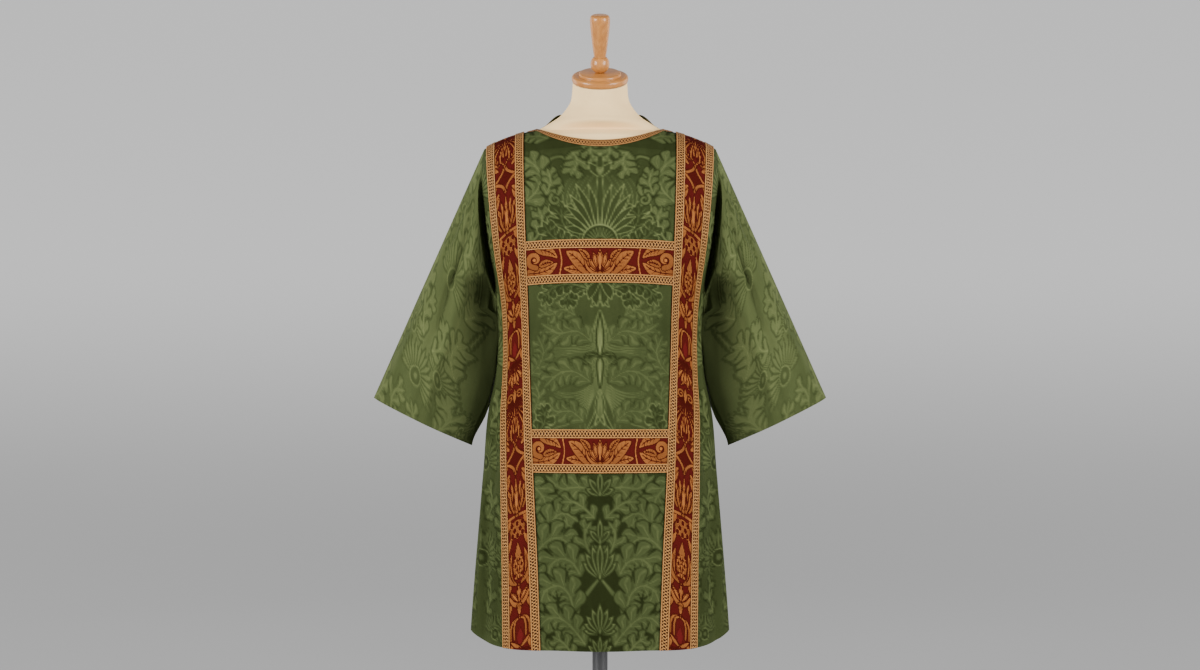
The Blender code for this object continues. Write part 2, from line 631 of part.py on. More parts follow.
def add_turned(name, profile, colour, place=(0.0, 0.0, 0.0), tilt=0.0):
    """A solid of revolution. The profile runs from the axis at its top to the axis at its bottom."""
    mesh = bpy.data.meshes.new(name)
    points = [(radius, 0.0, height) for radius, height in profile]
    mesh.from_pydata(points, [(i, i + 1) for i in range(len(points) - 1)], [])
    mesh.materials.append(material(colour))
    thing = bpy.data.objects.new(name, mesh)
    collection().objects.link(thing)
    thing.location = place
    thing.rotation_euler = (tilt, 0.0, 0.0)
    screw = thing.modifiers.new("turn", "SCREW")
    screw.steps = TURNED_STEPS
    screw.render_steps = TURNED_STEPS
    screw.use_merge_vertices = True
    screw.merge_threshold = 1e-5
    screw.use_smooth_shade = True
    return thing


def arc(centre, radius, start, end, count):
    """Points of a profile's round stretch. Angles are in degrees, from straight out towards straight up."""
    angles = np.radians(np.linspace(start, end, count))
    return [(centre[0] + radius * math.cos(a), centre[1] + radius * math.sin(a)) for a in angles]


def add_neck_cap():
    top = CAP_HEIGHT + STEP_HEIGHT
    profile = [(0.0, top)]
    profile += arc((STEP_RADIUS - STEP_RIM, top - STEP_RIM), STEP_RIM, 90, 0, 4)
    profile += [(STEP_RADIUS, CAP_HEIGHT)]
    profile += arc((CAP_RADIUS - CAP_RIM, CAP_HEIGHT - CAP_RIM), CAP_RIM, 90, 0, 5)
    profile += arc((CAP_RADIUS - CAP_RIM, CAP_RIM), CAP_RIM, 0, -90, 5)
    profile += [(0.0, 0.0)]
    axis = Vector((0.0, -math.sin(NECK_TILT), math.cos(NECK_TILT)))
    add_turned("neck_cap", profile, "beech", Vector(NECK_TOP) + axis * GAP, NECK_TILT)


def add_finial():
    """A ball on the cap and a handle that widens to a rounded top."""
    seat = CAP_HEIGHT + STEP_HEIGHT + 2 * GAP
    centre = seat + math.sqrt(BALL_RADIUS ** 2 - BALL_SEAT ** 2)
    low = math.degrees(math.asin(BALL_SEAT / BALL_RADIUS)) - 90
    high = math.degrees(math.acos(HANDLE_BOTTOM_RADIUS / BALL_RADIUS))
    profile = [(0.0, HANDLE_TOP)]
    for angle in np.radians((75, 50, 25, 0)):
        profile.append((HANDLE_TOP_RADIUS - CROWN_RIM * (1 - math.cos(angle)),
                        HANDLE_TOP - CROWN_HEIGHT * (1 - math.sin(angle))))
    profile += [HANDLE_SHOULDER, (HANDLE_BOTTOM_RADIUS, HANDLE_BOTTOM)]
    profile += arc((0.0, centre), BALL_RADIUS, high - HANDLE_REST, low, 9)
    profile += [(0.0, seat)]
    add_turned("finial", profile, "beech", NECK_TOP, NECK_TILT)


def add_stand():
    """A round base and the pole that carries the form."""
    profile = [(0.0, SOCKET_TOP), (SOCKET_RADIUS - SOCKET_RIM, SOCKET_TOP), (SOCKET_RADIUS, SOCKET_TOP - SOCKET_RIM)]
    profile += [(SOCKET_RADIUS, BASE_HEIGHT + STEP), (SOCKET_RADIUS + 2 * SOCKET_RIM, BASE_HEIGHT - STEP)]
    profile += arc((BASE_RADIUS - BASE_EDGE, BASE_HEIGHT - BASE_SLOPE - BASE_EDGE), BASE_EDGE, 80, 0, 5)
    profile += [(BASE_RADIUS, 0.0), (0.0, 0.0)]
    add_turned("stand_base", profile, "stand")
    top = FORM_BOTTOM_Z - GAP
    bottom = SOCKET_TOP + GAP
    bpy.ops.mesh.primitive_cylinder_add(
        vertices=TURNED_STEPS, radius=POLE_RADIUS, depth=top - bottom, location=(0.0, 0.0, (top + bottom) / 2))
    pole = bpy.context.object
    pole.name = "stand_pole"
    pole.data.materials.append(material("stand"))
    for owner in pole.users_collection:
        owner.objects.unlink(pole)
    collection().objects.link(pole)


def material(name):
    found = bpy.data.materials.get(name)
    if found:
        return found
    colour, roughness, metallic = COLOURS[name]
    made = bpy.data.materials.new(name)
    made.use_nodes = True
    shader = made.node_tree.nodes["Principled BSDF"]
    shader.inputs["Base Color"].default_value = (*colour, 1.0)
    shader.inputs["Roughness"].default_value = roughness
    shader.inputs["Metallic"].default_value = metallic
    return made


def collection():
    found = bpy.data.collections.get(COLLECTION)
    if not found:
        found = bpy.data.collections.new(COLLECTION)
        bpy.context.scene.collection.children.link(found)
    return found


def main():
    for thing in list(bpy.data.objects):
        bpy.data.objects.remove(thing, do_unlink=True)
    for side in (-1, 1):
        add_panels(side)
        add_orphreys(side)
        add_apparels(side)
        add_neck_braid(side)
    add_sleeves()
    add_form()
    add_neck_cap()
    add_finial()
    add_stand()


main()
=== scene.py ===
"""The looks of a green damask dalmatic on a dress form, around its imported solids. Metres, front at -Y."""
import math

import bpy
import numpy as np
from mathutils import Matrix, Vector


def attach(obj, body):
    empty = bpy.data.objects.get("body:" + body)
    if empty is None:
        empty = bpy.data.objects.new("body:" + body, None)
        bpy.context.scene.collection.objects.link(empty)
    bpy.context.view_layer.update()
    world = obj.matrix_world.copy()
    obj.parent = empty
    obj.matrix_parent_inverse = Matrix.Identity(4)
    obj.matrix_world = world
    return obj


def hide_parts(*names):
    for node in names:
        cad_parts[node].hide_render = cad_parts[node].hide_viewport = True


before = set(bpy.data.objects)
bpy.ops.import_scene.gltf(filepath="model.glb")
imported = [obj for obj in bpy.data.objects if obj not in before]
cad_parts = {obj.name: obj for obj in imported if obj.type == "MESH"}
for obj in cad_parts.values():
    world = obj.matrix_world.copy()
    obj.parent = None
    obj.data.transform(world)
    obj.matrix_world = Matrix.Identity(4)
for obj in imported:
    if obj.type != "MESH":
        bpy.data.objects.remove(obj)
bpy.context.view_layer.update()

MM = 1000.0

# ---- The object's sizes, as in its source ----
CLOTH = 0.0016
BAND = 0.0012
BRAID = 0.0010
GAP = 0.0003
WIDTH_GAP = 0.00045
BRAID_WIDTH = 0.018
ORPHREY_WIDTH = 0.080
FIELD_COLUMNS = 2
NECK_HALF = 0.134
NECK_Z = 1.4505
NECK_DROP = 0.032
NECK_RISE = 0.038
NECK_FRONT = 0.100
NECK_BACK = 0.072
NECK_SLOPE = {-1: math.radians(40), 1: math.radians(62)}
SHOULDER_SLOPE = 0.25
SHOULDER_CURVE = 10.5
ORPHREY_TOP_X = 0.1585
SHOULDER_TIP_X = 0.2425
SEAM_SPARE = 0.006
NECK_LEVEL = 0.38
CAP_PULL = 0.55
APPAREL_TOPS = (1.2136, 0.8304)
APPAREL_HEIGHT = 0.088
UNDERARM_Z = 1.0788
ARMHOLE_DEPTH = 0.060
HEM_Z = 0.386
CAP_ROWS = 7
CAP_SPREAD = 1.6
SECTION_COLUMNS = ("height", "half_width", "front", "back", "squareness", "inner_x", "droop", "turn")
SECTIONS = (
    (1.2136, 0.2450, 0.150, 0.135, 2.50, 0.1500, 0.014, 2.5),
    (1.0800, 0.2160, 0.155, 0.145, 2.00, 0.1450, 0.012, 2.5),
    (0.9500, 0.2185, 0.158, 0.151, 2.00, 0.1415, 0.010, 2.5),
    (0.8650, 0.2345, 0.161, 0.156, 2.15, 0.1385, 0.008, 3.0),
    (0.7400, 0.2430, 0.166, 0.162, 2.35, 0.1340, 0.002, 4.0),
    (0.5600, 0.2535, 0.171, 0.170, 2.50, 0.1255, -0.010, 6.0),
    (0.3860, 0.2640, 0.175, 0.177, 2.60, 0.1194, -0.020, 8.0),
)
# Folds in the solids: place, width, out and top.
FRONT_FOLDS = (
    (0.00, 0.16, 0.004, 0.80),
    (0.24, 0.11, -0.005, 0.74),
    (0.47, 0.10, 0.004, 0.78),
    (0.73, 0.08, -0.006, 1.00),
    (0.88, 0.07, 0.007, 0.95),
)
BACK_FOLDS = (
    (0.00, 0.14, -0.006, 0.95),
    (0.22, 0.12, 0.008, 1.05),
    (0.45, 0.10, -0.008, 1.00),
    (0.66, 0.09, 0.009, 1.05),
    (0.85, 0.08, -0.008, 1.00),
)
FOLDS_END = 0.08
CUFF_OUTER = (0.4725, 0.8898)
CUFF_INNER = (0.2677, 0.7890)
CUFF_HALF_DEPTH = 0.058
CUFF_Y = -0.012
CUFF_SQUARENESS = 2.3
SLEEVE_ROWS = 10
SLEEVE_SWELL = 0.020
SLEEVE_HUG = 0.0008
SLEEVE_HUG_WIDTH = 0.15
SLEEVE_HUG_START = 0.026
SLEEVE_PARTS_Z = 0.868
SLEEVE_PARTS_OVER = 0.082
SEAM_TURN = 0.35
SEAM_FLAT = (0.30, 0.42)
TROUGH_BIAS = 0.8
TROUGHS = ((0.17, 0.035, 0.006), (0.34, 0.045, 0.004), (0.64, 0.045, 0.005), (0.82, 0.040, 0.006))
NECK_BRAID_COLUMN = 6
INNER_COLUMN = 7
NECK_SHARES = (0.0, 0.215, 0.43, 0.62, 0.76, NECK_HALF / ORPHREY_TOP_X,
               (NECK_HALF + BRAID_WIDTH) / ORPHREY_TOP_X, 1.0)
INNER_BRAID_COLUMN = INNER_COLUMN + 1
OUTER_BRAID_COLUMN = INNER_BRAID_COLUMN + FIELD_COLUMNS
OUTER_COLUMN = OUTER_BRAID_COLUMN + 1
EDGE_COLUMN = OUTER_COLUMN + 3
SEAM_COLUMN = INNER_BRAID_COLUMN + 1
SEAM_SHIFT = WIDTH_GAP / 2 / ((ORPHREY_WIDTH - 2 * BRAID_WIDTH) / FIELD_COLUMNS)
SEAM_SAMPLES = 400
CAP_SAMPLES = 60
STEP = 1e-3

FORM_CLEAR = 0.0010
# Rings of the form: height, half_width, front, back, squareness, centre_y and lean.
FORM_LOWER = (
    (0.7150, 0.140, 0.082, 0.082, 2.2, 0.000, 0.0),
    (0.7230, 0.156, 0.096, 0.096, 2.2, 0.000, 0.0),
    (0.7450, 0.164, 0.104, 0.104, 2.2, 0.000, 0.0),
    (0.8600, 0.170, 0.108, 0.110, 2.2, 0.000, 0.0),
    (0.9800, 0.156, 0.100, 0.094, 2.2, 0.000, 0.0),
    (1.0700, 0.152, 0.104, 0.088, 2.2, 0.000, 0.0),
    (1.1600, 0.166, 0.120, 0.100, 2.2, 0.000, 0.0),
    (1.2400, 0.178, 0.128, 0.106, 2.2, 0.000, 0.0),
    (1.3100, 0.188, 0.122, 0.102, 2.1, 0.000, 0.0),
    (1.3600, 0.195, 0.108, 0.094, 1.8, 0.000, 0.0),
    (1.3900, 0.198, 0.098, 0.087, 1.6, 0.000, 0.0),
)
FORM_SHOULDER_XS = (0.1960, 0.1860, 0.1720, 0.1585, 0.1460, 0.1340)
FORM_UPPER = (
    (1.4640, 0.106, 0.077, 0.066, 1.6, 0.000, 0.02),
    (1.4780, 0.085, 0.071, 0.063, 1.8, -0.001, 0.06),
    (1.4950, 0.070, 0.064, 0.060, 2.0, -0.003, 0.14),
    (1.5140, 0.060, 0.058, 0.057, 2.0, -0.007, 0.27),
    (1.5487, 0.0567, 0.0567, 0.0567, 2.0, -0.0149, 0.4189),
)
FORM_SHOULDER_FRONT = (0.086, 0.060)
FORM_SHOULDER_BACK = (0.083, 0.070)
FORM_SHOULDER_SQUARENESS = 1.45
NECK_TILT = math.radians(24)
NECK_TOP = (0.0, -0.015, 1.549)
CAP_RADIUS = 0.059
CAP_HEIGHT = 0.014
STEP_RADIUS = 0.044
STEP_HEIGHT = 0.006
BALL_RADIUS = 0.0198
BALL_SEAT = 0.008
HANDLE_BOTTOM_RADIUS = 0.0122
HANDLE_TOP_RADIUS = 0.0208
HANDLE_TOP = 0.141
HANDLE_BOTTOM = 0.052
HANDLE_CROWN = (0.004, 0.010)
HANDLE_SIDE_TOP = HANDLE_TOP - 0.012
HANDLE_SHOULDER = (0.0196, 0.111)
HANDLE_WAIST = (0.0158, 0.078)
BASE_RADIUS = 0.170
BASE_HEIGHT = 0.026
SOCKET_RADIUS = 0.027
SOCKET_TOP = 0.046
POLE_RADIUS = 0.0160
FORM_BOTTOM_Z = 0.715

# ---- The camera, in pixels of a 1200 x 670 picture ----
PICTURE_WIDTH = 1200
FOCAL_PIXELS = 1810
SENSOR = 36.0
CAMERA_AT = (0.0, -3.8, 1.02)


# ---- The body's surface, as in the source ----
def unit(vectors):
    return vectors / np.maximum(np.linalg.norm(vectors, axis=-1), 1e-12)[..., None]


def lengths(points):
    """Distances along the lines of a grid of points, from its first row."""
    steps = np.linalg.norm(np.diff(points, axis=0), axis=-1)
    return np.concatenate([np.zeros_like(steps[:1]), np.cumsum(steps, axis=0)])


def row_heights():
    heights = [APPAREL_TOPS[0]]
    named = {}

    def add_apparel(name):
        named[name] = CAP_ROWS + len(heights) - 1
        top = heights[-1]
        for fall in (BRAID_WIDTH, APPAREL_HEIGHT / 2, APPAREL_HEIGHT - BRAID_WIDTH, APPAREL_HEIGHT):
            heights.append(top - fall)

    add_apparel("upper")
    heights.append(UNDERARM_Z)
    named["underarm"] = CAP_ROWS + len(heights) - 1
    heights.extend(np.linspace(UNDERARM_Z, APPAREL_TOPS[1], 5)[1:])
    add_apparel("lower")
    heights.extend(np.linspace(heights[-1], HEM_Z, 6)[1:])
    named["hem"] = CAP_ROWS + len(heights) - 1
    return np.array(heights), named


ROW_HEIGHTS, ROWS = row_heights()


def through(table, columns, name, height):
    """A smooth curve through one column of a table whose first column is a falling height."""
    heights = np.array([row[0] for row in table])[::-1]
    values = np.array([row[columns.index(name)] for row in table])[::-1]
    slopes = np.gradient(values, heights)
    k = np.clip(np.searchsorted(heights, height) - 1, 0, len(heights) - 2)
    span = heights[k + 1] - heights[k]
    t = (height - heights[k]) / span
    return ((2 * t ** 3 - 3 * t ** 2 + 1) * values[k] + (t ** 3 - 2 * t ** 2 + t) * span * slopes[k]
            + (3 * t ** 2 - 2 * t ** 3) * values[k + 1] + (t ** 3 - t ** 2) * span * slopes[k + 1])


def body_size(name, height):
    return through(SECTIONS, SECTION_COLUMNS, name, height)


def smooth(t):
    t = np.clip(t, 0.0, 1.0)
    return t * t * (3 - 2 * t)


def shoulder_height(x):
    away = np.abs(x) - NECK_HALF
    return NECK_Z - SHOULDER_SLOPE * away - SHOULDER_CURVE * np.maximum(away, 0.0) ** 3


def fold_height(side, share, height):
    total = np.zeros_like(share)
    for place, width, out, top in FRONT_FOLDS if side < 0 else BACK_FOLDS:
        grows = smooth((top - height) / (top - HEM_Z))
        total += out * grows * np.exp(-((share - place) / width) ** 2)
    return total * smooth((1.0 - share) / FOLDS_END)


def section(side, height):
    """Half a body section at a height: its points from the middle to the side, and the way along it."""
    half_width = body_size("half_width", height)
    depth = body_size("front" if side < 0 else "back", height)
    power = 2.0 / body_size("squareness", height)
    angle = np.linspace(0.0, math.pi / 2, SEAM_SAMPLES)
    x = half_width * np.sin(angle) ** power
    y = depth * np.clip(np.cos(angle), 0.0, 1.0) ** power
    y[-1] = 0.0
    line = np.stack([x, y], 1)
    tangent, along = unit(np.gradient(line, axis=0)), lengths(line)
    out = fold_height(side, along / along[-1], height)
    return x - out * tangent[:, 1], y + out * tangent[:, 0], along


def armhole_y(height):
    return ARMHOLE_DEPTH * math.sqrt(max(0.0, (height - UNDERARM_Z) / (APPAREL_TOPS[0] - UNDERARM_Z)))


def column_distance(columns, inner, edge, top_share):
    even = np.linspace(0.0, 1.0, INNER_COLUMN + 1)
    shares = (1 - top_share) * even + top_share * np.array(NECK_SHARES)
    field = np.linspace(BRAID_WIDTH, ORPHREY_WIDTH - BRAID_WIDTH, FIELD_COLUMNS + 1)
    band = inner + np.concatenate([field, [ORPHREY_WIDTH]])
    beyond = np.linspace(band[-1], edge, EDGE_COLUMN - OUTER_COLUMN + 1)[1:]
    stops = np.concatenate([shares * inner, band, beyond])
    return np.interp(columns, np.arange(EDGE_COLUMN + 1), stops)


def level_row(side, height, columns, top_share=0.0):
    """Points of the body at one nominal height, with their distance from the middle, for x above zero."""
    x, y, along = section(side, height)
    inner = np.interp(body_size("inner_x", height), x, along)
    reach = armhole_y(height)
    edge = np.interp(-reach, -y, along) if reach > 0 else along[-1]
    distance = column_distance(columns, inner, edge, top_share)
    px = np.interp(distance, along, x)
    py = np.interp(distance, along, y)
    share = np.maximum(px, 0.0) / body_size("half_width", height)
    droop = body_size("droop", height) * share ** body_size("turn", height)
    return np.stack([px, side * py, height - droop], 1), distance


def top_edge(side, columns):
    seam = ORPHREY_WIDTH + SEAM_SPARE
    ridge = (SHOULDER_TIP_X - ORPHREY_TOP_X) / seam
    stops = column_distance(np.arange(EDGE_COLUMN + 1.0), 1.0, 1.0, 1.0)[:INNER_COLUMN] * ORPHREY_TOP_X
    band = column_distance(np.arange(EDGE_COLUMN + 1.0), 0.0, seam, 1.0)[INNER_COLUMN:]
    places = np.concatenate([stops, ORPHREY_TOP_X + ridge * band])
    x = np.interp(columns, np.arange(EDGE_COLUMN + 1), places)
    inside = np.sqrt(np.clip(1 - (x / NECK_HALF) ** 2, 0.0, 1.0))
    if side < 0:
        neck_z = NECK_Z - NECK_DROP * inside ** 2
        y = -NECK_FRONT * inside
    else:
        neck_z = NECK_Z + NECK_RISE * smooth((1 - x / NECK_HALF) / NECK_LEVEL)
        y = NECK_BACK * inside
    z = np.where(x < NECK_HALF, neck_z, shoulder_height(x))
    falls = NECK_SLOPE[side] * inside
    leaves = np.stack([np.zeros_like(x), side * np.cos(falls), -np.sin(falls)], 1)
    return np.stack([x, y + side * GAP / 2, z], 1), leaves


def cap_row(side, row, columns):
    """Points above the upper apparel, on curves from the top edge down to its level row."""
    top, leaves = top_edge(side, columns)
    share = float(smooth(1 - row / CAP_ROWS))
    foot, distance = level_row(side, APPAREL_TOPS[0], columns, share)
    below = unit(level_row(side, APPAREL_TOPS[0] - STEP, columns, share)[0] - foot)
    out = CAP_PULL * np.abs(foot[:, 1] - top[:, 1])[:, None]
    down = CAP_PULL * (top[:, 2] - foot[:, 2])[:, None]
    t = np.linspace(0.0, 1.0, CAP_SAMPLES)[:, None, None]
    handles = (top, top + leaves * out, foot - below * down, foot)
    weights = ((1 - t) ** 3, 3 * t * (1 - t) ** 2, 3 * t * t * (1 - t), t ** 3)
    curve = sum(weight * handle[None] for weight, handle in zip(weights, handles))
    along = lengths(curve)
    first = min(row, 1.0)
    later = (max(row - 1.0, 0.0) / (CAP_ROWS - 1)) ** CAP_SPREAD
    wanted = first * BRAID_WIDTH + later * (along[-1] - BRAID_WIDTH)
    k = np.clip((along < wanted).sum(axis=0) - 1, 0, CAP_SAMPLES - 2)
    which = np.arange(len(columns))
    part = (wanted - along[k, which]) / (along[k + 1, which] - along[k, which])
    return curve[k, which] * (1 - part)[:, None] + curve[k + 1, which] * part[:, None], distance


def grid_normals(points, closed=False):
    """Unit directions across a grid of points: rows downwards, columns from left to right."""
    if closed:
        across = np.roll(points, -1, axis=1) - np.roll(points, 1, axis=1)
    else:
        across = np.gradient(points, axis=1)
    return unit(np.cross(np.gradient(points, axis=0), across))


# ---- Soft creases, each placed one by one ----
FAR = 1e9
TINY = 1e-12
CREASE_MARGIN = 0.03
CREASE_FADE = 0.7


def nearest(path, x, y):
    """How far each place is outside a path of (x, y, radius), the radius there and the share along it."""
    best = np.full(x.shape, FAR)
    radius, share = np.full(x.shape, TINY), np.zeros(x.shape)
    for k in range(len(path) - 1):
        (ax, ay, ar), (bx, by, br) = path[k], path[k + 1]
        run_x, run_y = bx - ax, by - ay
        t = np.clip(((x - ax) * run_x + (y - ay) * run_y) / (run_x ** 2 + run_y ** 2 + TINY), 0, 1)
        own = ar + t * (br - ar)
        far = np.hypot(x - ax - t * run_x, y - ay - t * run_y) - own
        closer = far < best
        best = np.where(closer, far, best)
        radius = np.where(closer, own, radius)
        share = np.where(closer, (k + t) / (len(path) - 1), share)
    return best, radius, share


def crease(table, across, height):
    """How far the creases of a table stand out at each place. Each fades towards its ends."""
    total = np.zeros_like(across)
    for path, width, out in table:
        far, _, share = nearest([(*point, 0.0) for point in path], across, height)
        fade = np.sin(math.pi * (CREASE_MARGIN + (1 - 2 * CREASE_MARGIN) * share)) ** CREASE_FADE
        total += out * np.exp(-(far / width) ** 2) * fade
    return total


# Each crease is a path of (across, height) points, how wide it is, and how far it stands out at its middle.
FRONT_CREASES = (
    (((-0.262, 1.02), (-0.250, 0.90), (-0.256, 0.78)), 0.007, 0.0043),
    (((-0.236, 0.98), (-0.243, 0.84), (-0.238, 0.70)), 0.006, -0.0038),
    (((0.258, 1.04), (0.249, 0.93), (0.254, 0.80)), 0.007, 0.0041),
    (((0.238, 0.97), (0.232, 0.86), (0.240, 0.72)), 0.006, -0.0035),
    (((-0.286, 0.74), (-0.280, 0.60), (-0.290, 0.42)), 0.010, 0.0058),
    (((0.281, 0.76), (0.288, 0.58), (0.282, 0.40)), 0.010, 0.0055),
    (((-0.262, 0.70), (-0.268, 0.55), (-0.262, 0.41)), 0.008, -0.0049),
    (((0.262, 0.71), (0.258, 0.57), (0.268, 0.40)), 0.008, -0.0046),
    (((-0.062, 0.73), (-0.052, 0.60), (-0.066, 0.44)), 0.020, 0.0066),
    (((0.056, 0.72), (0.068, 0.56), (0.058, 0.40)), 0.021, 0.0060),
    (((0.004, 0.73), (-0.004, 0.60), (0.004, 0.46)), 0.018, -0.0066),
    (((-0.110, 1.36), (-0.070, 1.31), (-0.030, 1.29)), 0.016, -0.0023),
    (((0.112, 1.36), (0.075, 1.30), (0.034, 1.285)), 0.016, -0.0022),
    (((-0.120, 1.06), (-0.090, 0.98), (-0.100, 0.88)), 0.020, 0.0020),
    (((0.118, 1.08), (0.096, 0.99), (0.104, 0.87)), 0.020, 0.0017),
    (((-0.292, 1.05), (-0.275, 0.99), (-0.250, 0.95)), 0.005, -0.0023),
    (((0.290, 1.03), (0.272, 0.985), (0.252, 0.94)), 0.005, -0.0022),
)
BACK_CREASES = (
    (((-0.250, 1.00), (-0.238, 0.86), (-0.246, 0.70)), 0.008, 0.0039),
    (((0.246, 1.02), (0.240, 0.88), (0.250, 0.74)), 0.008, 0.0042),
    (((-0.110, 1.10), (-0.100, 0.90), (-0.112, 0.60)), 0.016, -0.0044),
    (((0.100, 1.06), (0.112, 0.84), (0.104, 0.56)), 0.018, -0.0039),
    (((0.010, 1.14), (-0.006, 0.92), (0.008, 0.62)), 0.014, 0.0039),
    (((-0.270, 0.72), (-0.278, 0.56), (-0.270, 0.41)), 0.009, -0.0047),
    (((0.272, 0.70), (0.266, 0.56), (0.276, 0.40)), 0.009, -0.0044),
    (((-0.120, 1.37), (-0.080, 1.30), (-0.060, 1.22)), 0.014, -0.0023),
    (((0.118, 1.37), (0.084, 1.29), (0.066, 1.21)), 0.014, -0.0021),
)
# Creases of a sleeve, as paths of (share round from the underarm seam, share down to the cuff).
SLEEVE_CREASES = (
    (((0.20, 0.12), (0.17, 0.55), (0.19, 0.98)), 0.030, -0.0074),
    (((0.26, 0.20), (0.245, 0.60), (0.26, 0.90)), 0.022, 0.0051),
    (((0.33, 0.10), (0.30, 0.50), (0.33, 0.80)), 0.020, -0.0044),
    (((0.41, 0.30), (0.40, 0.60), (0.42, 1.00)), 0.024, 0.0033),
    (((0.58, 0.15), (0.61, 0.55), (0.59, 0.95)), 0.026, 0.0044),
    (((0.68, 0.10), (0.66, 0.45), (0.69, 0.85)), 0.024, -0.0053),
    (((0.78, 0.25), (0.80, 0.60), (0.78, 1.00)), 0.024, -0.0051),
    (((0.12, 0.05), (0.10, 0.30), (0.13, 0.50)), 0.016, 0.0039),
    (((0.37, 0.05), (0.33, 0.34), (0.295, 0.64)), 0.024, -0.0090),
    (((0.30, 0.38), (0.325, 0.405), (0.35, 0.40)), 0.012, 0.0044),
    (((0.43, 0.08), (0.42, 0.30), (0.40, 0.55)), 0.018, -0.0044),
    (((0.22, 0.55), (0.23, 0.75), (0.215, 0.97)), 0.014, -0.0042),
)

# The armhole lies in a deep fold: how far back it is pulled, and where and over what it sinks in.
FOLD_DEPTH = {-1: 0.030, 1: 0.018}
FOLD_TOP, FOLD_TOP_OVER = 1.370, 0.100
FOLD_LOW, FOLD_LOW_OVER = 1.082, 0.050
FOLD_COLUMN = OUTER_COLUMN + 0.15
FOLD_EASE = 1.3
# The ridge below each end of the neck braid is drawn out: its column, spread, least share and passes.
RIDGE_COLUMN = 5.0
RIDGE_SPREAD = 0.45
RIDGE_LEAST = 0.02
RIDGE_PASSES = 3
# Creases begin below this row, over this many, and end before the sleeve's seam.
CREASE_ROW, CREASE_ROWS = 0.6, 1.5
CREASE_EDGE = 0.5


def armhole_fold(side, height):
    sinks = smooth((FOLD_TOP - height) / FOLD_TOP_OVER) * smooth((height - FOLD_LOW) / FOLD_LOW_OVER)
    return FOLD_DEPTH[side] * sinks


def body_row(side, row, columns):
    """Points of one row, counted from the top edge, with their distance from the middle."""
    if row < CAP_ROWS:
        return cap_row(side, max(row, 0.0), columns)
    height = float(np.interp(row - CAP_ROWS, np.arange(len(ROW_HEIGHTS)), ROW_HEIGHTS))
    return level_row(side, height, columns)


def without_ridge(points, rows, half):
    near = np.exp(-((half - RIDGE_COLUMN) / RIDGE_SPREAD) ** 2)
    share = smooth(rows - 1.0) * smooth((CAP_ROWS - rows) / 2.0)
    share = (share[:, None] * np.where(near > RIDGE_LEAST, near, 0.0))[..., None]
    for _ in range(RIDGE_PASSES):
        mean = points.copy()
        mean[:, 1:-1] = (points[:, :-2] + points[:, 2:]) / 2
        points = points * (1 - share) + mean * share
    return points


class Patch:
    """A stretch of the body's surface, with its outward directions and its flat coordinates."""

    def __init__(self, side, rows, columns):
        rows, columns = np.asarray(rows, float), np.asarray(columns, float)
        half = np.minimum(np.abs(columns), EDGE_COLUMN)
        hand = np.where(columns < 0, -1.0, 1.0)
        lines = [body_row(side, row, half) for row in rows]
        points = np.array([line for line, _ in lines])
        points[..., 0] *= hand
        self.across = np.array([distance for _, distance in lines]) * hand
        points = without_ridge(points, rows, half)
        rise = crease(FRONT_CREASES if side < 0 else BACK_CREASES, self.across, points[..., 2])
        rise *= smooth((rows[:, None] - CREASE_ROW) / CREASE_ROWS)
        rise *= smooth((EDGE_COLUMN - half) / CREASE_EDGE)
        points = points - side * grid_normals(points) * rise[..., None]
        sinks = smooth((half - FOLD_COLUMN) / (EDGE_COLUMN - FOLD_COLUMN)) ** FOLD_EASE
        points[..., 1] -= side * armhole_fold(side, points[..., 2]) * sinks
        normals = -side * grid_normals(points)
        seam = (half > EDGE_COLUMN - TINY) & (rows >= ROWS["underarm"])[:, None]
        normals[seam] = np.sign(points[seam][:, :1]) * (1.0, 0.0, 0.0)
        points[seam] += (0.0, side * GAP / 2, 0.0)
        self.side, self.points, self.normals = side, points, normals
        self.down = lengths(points)
        level = int(np.argmax(rows >= CAP_ROWS)) if rows[0] < CAP_ROWS else 0
        self.fall = self.down - self.down[level]


def spaced(first, last, step, marks, stops):
    """Numbers about step apart on the cloth, where the marks lie at these stops."""
    start, end = np.interp([first, last], marks, stops)
    count = max(2, int(round((end - start) / step)) + 1)
    numbers = np.interp(np.linspace(start, end, count), stops, marks)
    numbers[0], numbers[-1] = first, last
    return numbers


def rows_between(first, last, step, side):
    """Row numbers about step apart on the cloth."""
    patch = Patch(side, np.linspace(0, CAP_ROWS, 15), [INNER_COLUMN - 0.5, INNER_COLUMN])
    cap = patch.down[-1, 1] - BRAID_WIDTH
    braid, share = np.linspace(0.0, 1.0, 5), np.linspace(0.0, 1.0, 40)[1:]
    later = 1 + (CAP_ROWS - 1) * share ** (1 / CAP_SPREAD)
    marks = [*braid, *later, *(CAP_ROWS + np.arange(1, len(ROW_HEIGHTS)))]
    below = BRAID_WIDTH + cap + ROW_HEIGHTS[0] - ROW_HEIGHTS[1:]
    stops = [*(braid * BRAID_WIDTH), *(BRAID_WIDTH + share * cap), *below]
    return spaced(first, last, step, marks, stops)


def columns_between(first, last, step):
    """Column numbers about step apart on the cloth, at half way down."""
    half = level_row(-1, APPAREL_TOPS[1], np.arange(EDGE_COLUMN + 1.0))[1]
    marks = np.arange(-EDGE_COLUMN, EDGE_COLUMN + 1)
    return spaced(first, last, step, marks, np.concatenate([-half[:0:-1], half]))


